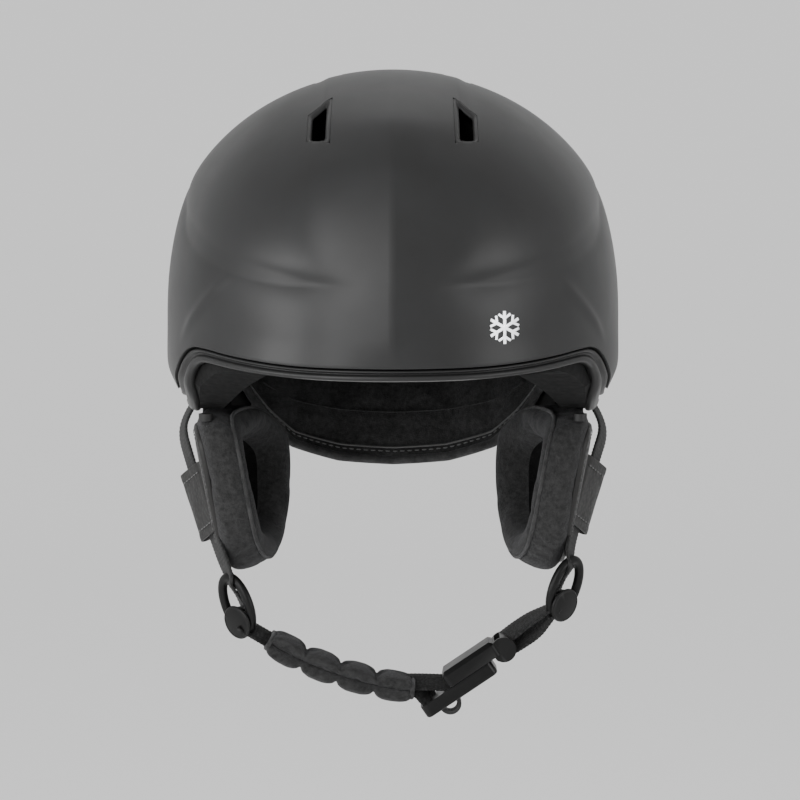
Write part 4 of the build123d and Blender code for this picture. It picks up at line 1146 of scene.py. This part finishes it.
def chin_section():
    """The pad's section, as (across, up): two plump rows with a seam between them at both edges."""
    half = [(7.8, 0.0)]
    for turn in np.radians(np.linspace(-68, 78, 11)):
        w = 11.5 * math.cos(turn) ** 0.5
        h = 2.9 + 2.9 * math.copysign(abs(math.sin(turn)) ** 0.8, turn)
        half.append((max(w, 9.5) if turn < 0 else w, h))
    top = half + [(w, 5.8) for w in (3.4, 1.1)]
    top = top + [(-w, h) for w, h in top[::-1]]
    return top + [(-w, -h) for w, h in top][1:-1]


def make_chin_pad():
    line = arc_through(*CHIN_PAD, 4 * 18 + 1)
    flat = np.stack([line[:, 0], np.full(len(line), CHIN_Y), line[:, 1]], 1)
    along = tangents(flat)
    up = np.cross(along, np.array([0, 1.0, 0]))
    up *= np.sign(up[:, 2:3])
    across = np.array([0, 1.0, 0])
    section = chin_section()
    around = len(section)
    rings, pinned = [], []
    cells = (len(line) - 1) // CHIN_SEGMENTS
    for i, (p, n) in enumerate(zip(flat, up)):
        into = (i % cells) / cells
        puff = (1 - abs(2 * into - 1) ** 3.2) ** 0.5 if 0 < i < len(line) - 1 else 0.35
        for k, (w, h) in enumerate(section):
            rings.append(p + across * w * (0.92 + 0.08 * puff) + n * h * (0.5 + 0.5 * puff))
            if i % cells == 0 or abs(h) < 0.01:
                pinned.append(i * around + k)
    faces = grid_faces(len(line), around)
    faces += [tuple(range(around))[::-1], tuple((len(line) - 1) * around + k for k in range(around))]
    pad = outward(piece("chin_cushion", rings, faces, FINISH["fleece"], slot="lining", replaces=["chin_pad"]))
    inflate(pad, pinned, pressure=5.0, cap=1.4, spare=0.03)
    finish_soft(pad)
    for end, name in ((0, "right"), (-1, "left")):
        ring = []
        for k in range(48):
            a = 2 * math.pi * k / 48
            w = math.copysign(abs(math.cos(a)) ** 0.6, math.cos(a)) * 10.2
            h = math.copysign(abs(math.sin(a)) ** 0.75, math.sin(a)) * 3.5
            ring.append(flat[end] + across * w + up[end] * h)
        tube(f"chin_binding_{name}", np.array(ring), 1.1, FINISH["fleece_band"], closed=True, slot="lining")


def make_chin_straps():
    dx, _, dz = DIVIDER["right"]
    (x0, z0), (x2, z2) = CHIN_PAD[0], CHIN_PAD[2]
    start = divider_point("right", 0, -9.0, 0.4)
    lead_in = [(start[0], start[2]), (dx + 3.4, dz - 10.0), (x0 - 4.0, z0 + 2.4)]
    end_x, end_z = BUCKLE_END
    lead_out = [(x2 + 3.5, z2 - 1.2), (end_x - 1.2, end_z + 1.5), (end_x + 3.0, end_z + 3.2)]
    middle = [tuple(p) for p in arc_through(*CHIN_PAD, 12)]
    points = rounded([(x, CHIN_Y, z) for x, z in lead_in + middle + lead_out], 2)
    webbing(
        "chin_webbing_right", points, (0.45, -0.4, 1), 15.0, FINISH["webbing"], slot="webbing",
        replaces=["chin_strap_right"],
    )  # fmt: skip
    tail = [(x2 + x, CHIN_Y, z2 + z) for x, z in ((-2, 3.0), (5.0, 3.0), (11.0, 2.8), (17.0, 2.6))]
    webbing("chin_webbing_tail", rounded(tail, 2), (0.1, -0.4, 1), 15.0, FINISH["webbing"], slot="webbing")

    along = np.array([math.cos(BUCKLE_SLOPE), 0, math.sin(BUCKLE_SLOPE)])
    out = np.array([-math.sin(BUCKLE_SLOPE), 0, math.cos(BUCKLE_SLOPE)])
    loop = np.array([BUCKLE_END[0], CHIN_Y, BUCKLE_END[1]]) + along * 43.0 + out * 3.4
    slot_end = divider_point("left", 0, -9.0, 0.2)
    for name, lift, sag in (("upper", 3.6, 1.0), ("lower", -2.4, -2.2)):
        first = loop + out * lift * 0.9 + along * 2.0
        last = slot_end + out * lift * 0.3
        bend = (first + last) / 2 + out * sag
        path = np.array([first, first * 0.6 + bend * 0.4, bend, last * 0.5 + bend * 0.5, last])
        face = out + np.outer([0.3, 0.35, 0.3, 0.2, 0.1], [0, -1, 0])
        both = rounded(np.hstack([path, face]), 2)
        strap = webbing(
            f"chin_webbing_{name}", both[:, :3], both[:, 3:], WEB_W, FINISH["webbing"], body=None,
            slot="webbing", taper=([0, 0.55, 1], [WEB_W, 14.5, 11.5]),
        )  # fmt: skip
        if name == "upper":
            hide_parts("chin_strap_left")
        pivot = np.array(LATCH_PIVOT)
        start, end = tuple((pivot + along * 9) * MM), tuple((pivot - along * 5) * MM)
        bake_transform(strap)
        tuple(start)
        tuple(end)


# ---------------------------------------------------------------- camera, light and floor
CAMERA_DISTANCE = 1800.0
CAMERA_RISE = math.radians(5)
CAMERA_TARGET = (3.3, 0.0, 0.0)
FOCAL_PIXELS = 3838.0
PICTURE_PIXELS = 800.0


def area_light(name, spot, aim, size, power, colour=(1, 1, 1)):
    data = bpy.data.lights.new(name, "AREA")
    data.shape = "RECTANGLE"
    data.size, data.size_y = size
    data.energy = power
    data.color = colour
    lamp = bpy.data.objects.new(name, data)
    bpy.context.scene.collection.objects.link(lamp)
    lamp.location = spot
    lamp.rotation_euler = (Vector(aim) - Vector(spot)).to_track_quat("-Z", "Y").to_euler()
    return lamp


def make_studio():
    scene = bpy.context.scene
    data = bpy.data.cameras.new("camera")
    data.sensor_width = 36.0
    data.lens = FOCAL_PIXELS / PICTURE_PIXELS * data.sensor_width
    data.clip_end = 100
    camera = bpy.data.objects.new("camera", data)
    scene.collection.objects.link(camera)
    back = Vector((0, -math.cos(CAMERA_RISE), math.sin(CAMERA_RISE)))
    camera.location = (Vector(CAMERA_TARGET) + back * CAMERA_DISTANCE) * MM
    camera.rotation_euler = (-back).to_track_quat("-Z", "Y").to_euler()
    scene.camera = camera

    world = bpy.data.worlds.new("studio")
    scene.world = world
    world.use_nodes = True
    world.node_tree.nodes["Background"].inputs["Color"].default_value = (1, 1, 1, 1)
    world.node_tree.nodes["Background"].inputs["Strength"].default_value = 1.0

    mesh = bpy.data.meshes.new("floor")
    low, radius, wide = -0.62, 3.0, 14.0
    sweep = [(-wide, low), (4.0, low)]
    turns = np.radians(np.arange(5, 91, 5))
    sweep += [(4.0 + radius * math.sin(a), low + radius * (1 - math.cos(a))) for a in turns]
    sweep += [(4.0 + radius, 12.0)]
    corners = [(x, y, z) for y, z in sweep for x in (-wide, wide)]
    quads = [(2 * k, 2 * k + 1, 2 * k + 3, 2 * k + 2) for k in range(len(sweep) - 1)]
    mesh.from_pydata(corners, [], quads)
    mesh.polygons.foreach_set("use_smooth", [True] * len(mesh.polygons))
    floor = bpy.data.objects.new("floor", mesh)
    scene.collection.objects.link(floor)
    pale = Finish("pale_floor", grey(0.9), 0.9)
    pale.bump(pale.noise(40, 2), 0.02, 0.001)
    mesh.materials.append(pale.material)

    area_light("key", (-0.75, -1.5, 0.55), (0, 0, 0.06), (0.8, 1.7), 29)
    area_light("brow_key", (-1.6, -0.75, 0.15), (0, 0, 0.03), (0.9, 0.6), 17)
    area_light("fill", (1.5, -0.85, 0.3), (0, 0, 0.03), (0.9, 0.7), 12)
    area_light("top", (0, 1.0, 1.6), (0, 0, 0.1), (1.4, 0.8), 3)


make_studio()
dress_cad_nodes()
make_shell()
make_rim()
make_bezels()
warped_copy("badge", "badge_print", FINISH["badge"], "badge", 0.05)
make_comfort_pads()
make_neck_pad()
for ear_name, ear_side in SIDES.items():
    make_ear_pad(ear_name, ear_side)
    make_ear_cover(ear_name, ear_side)
make_straps()
make_chin_pad()
make_chin_straps()
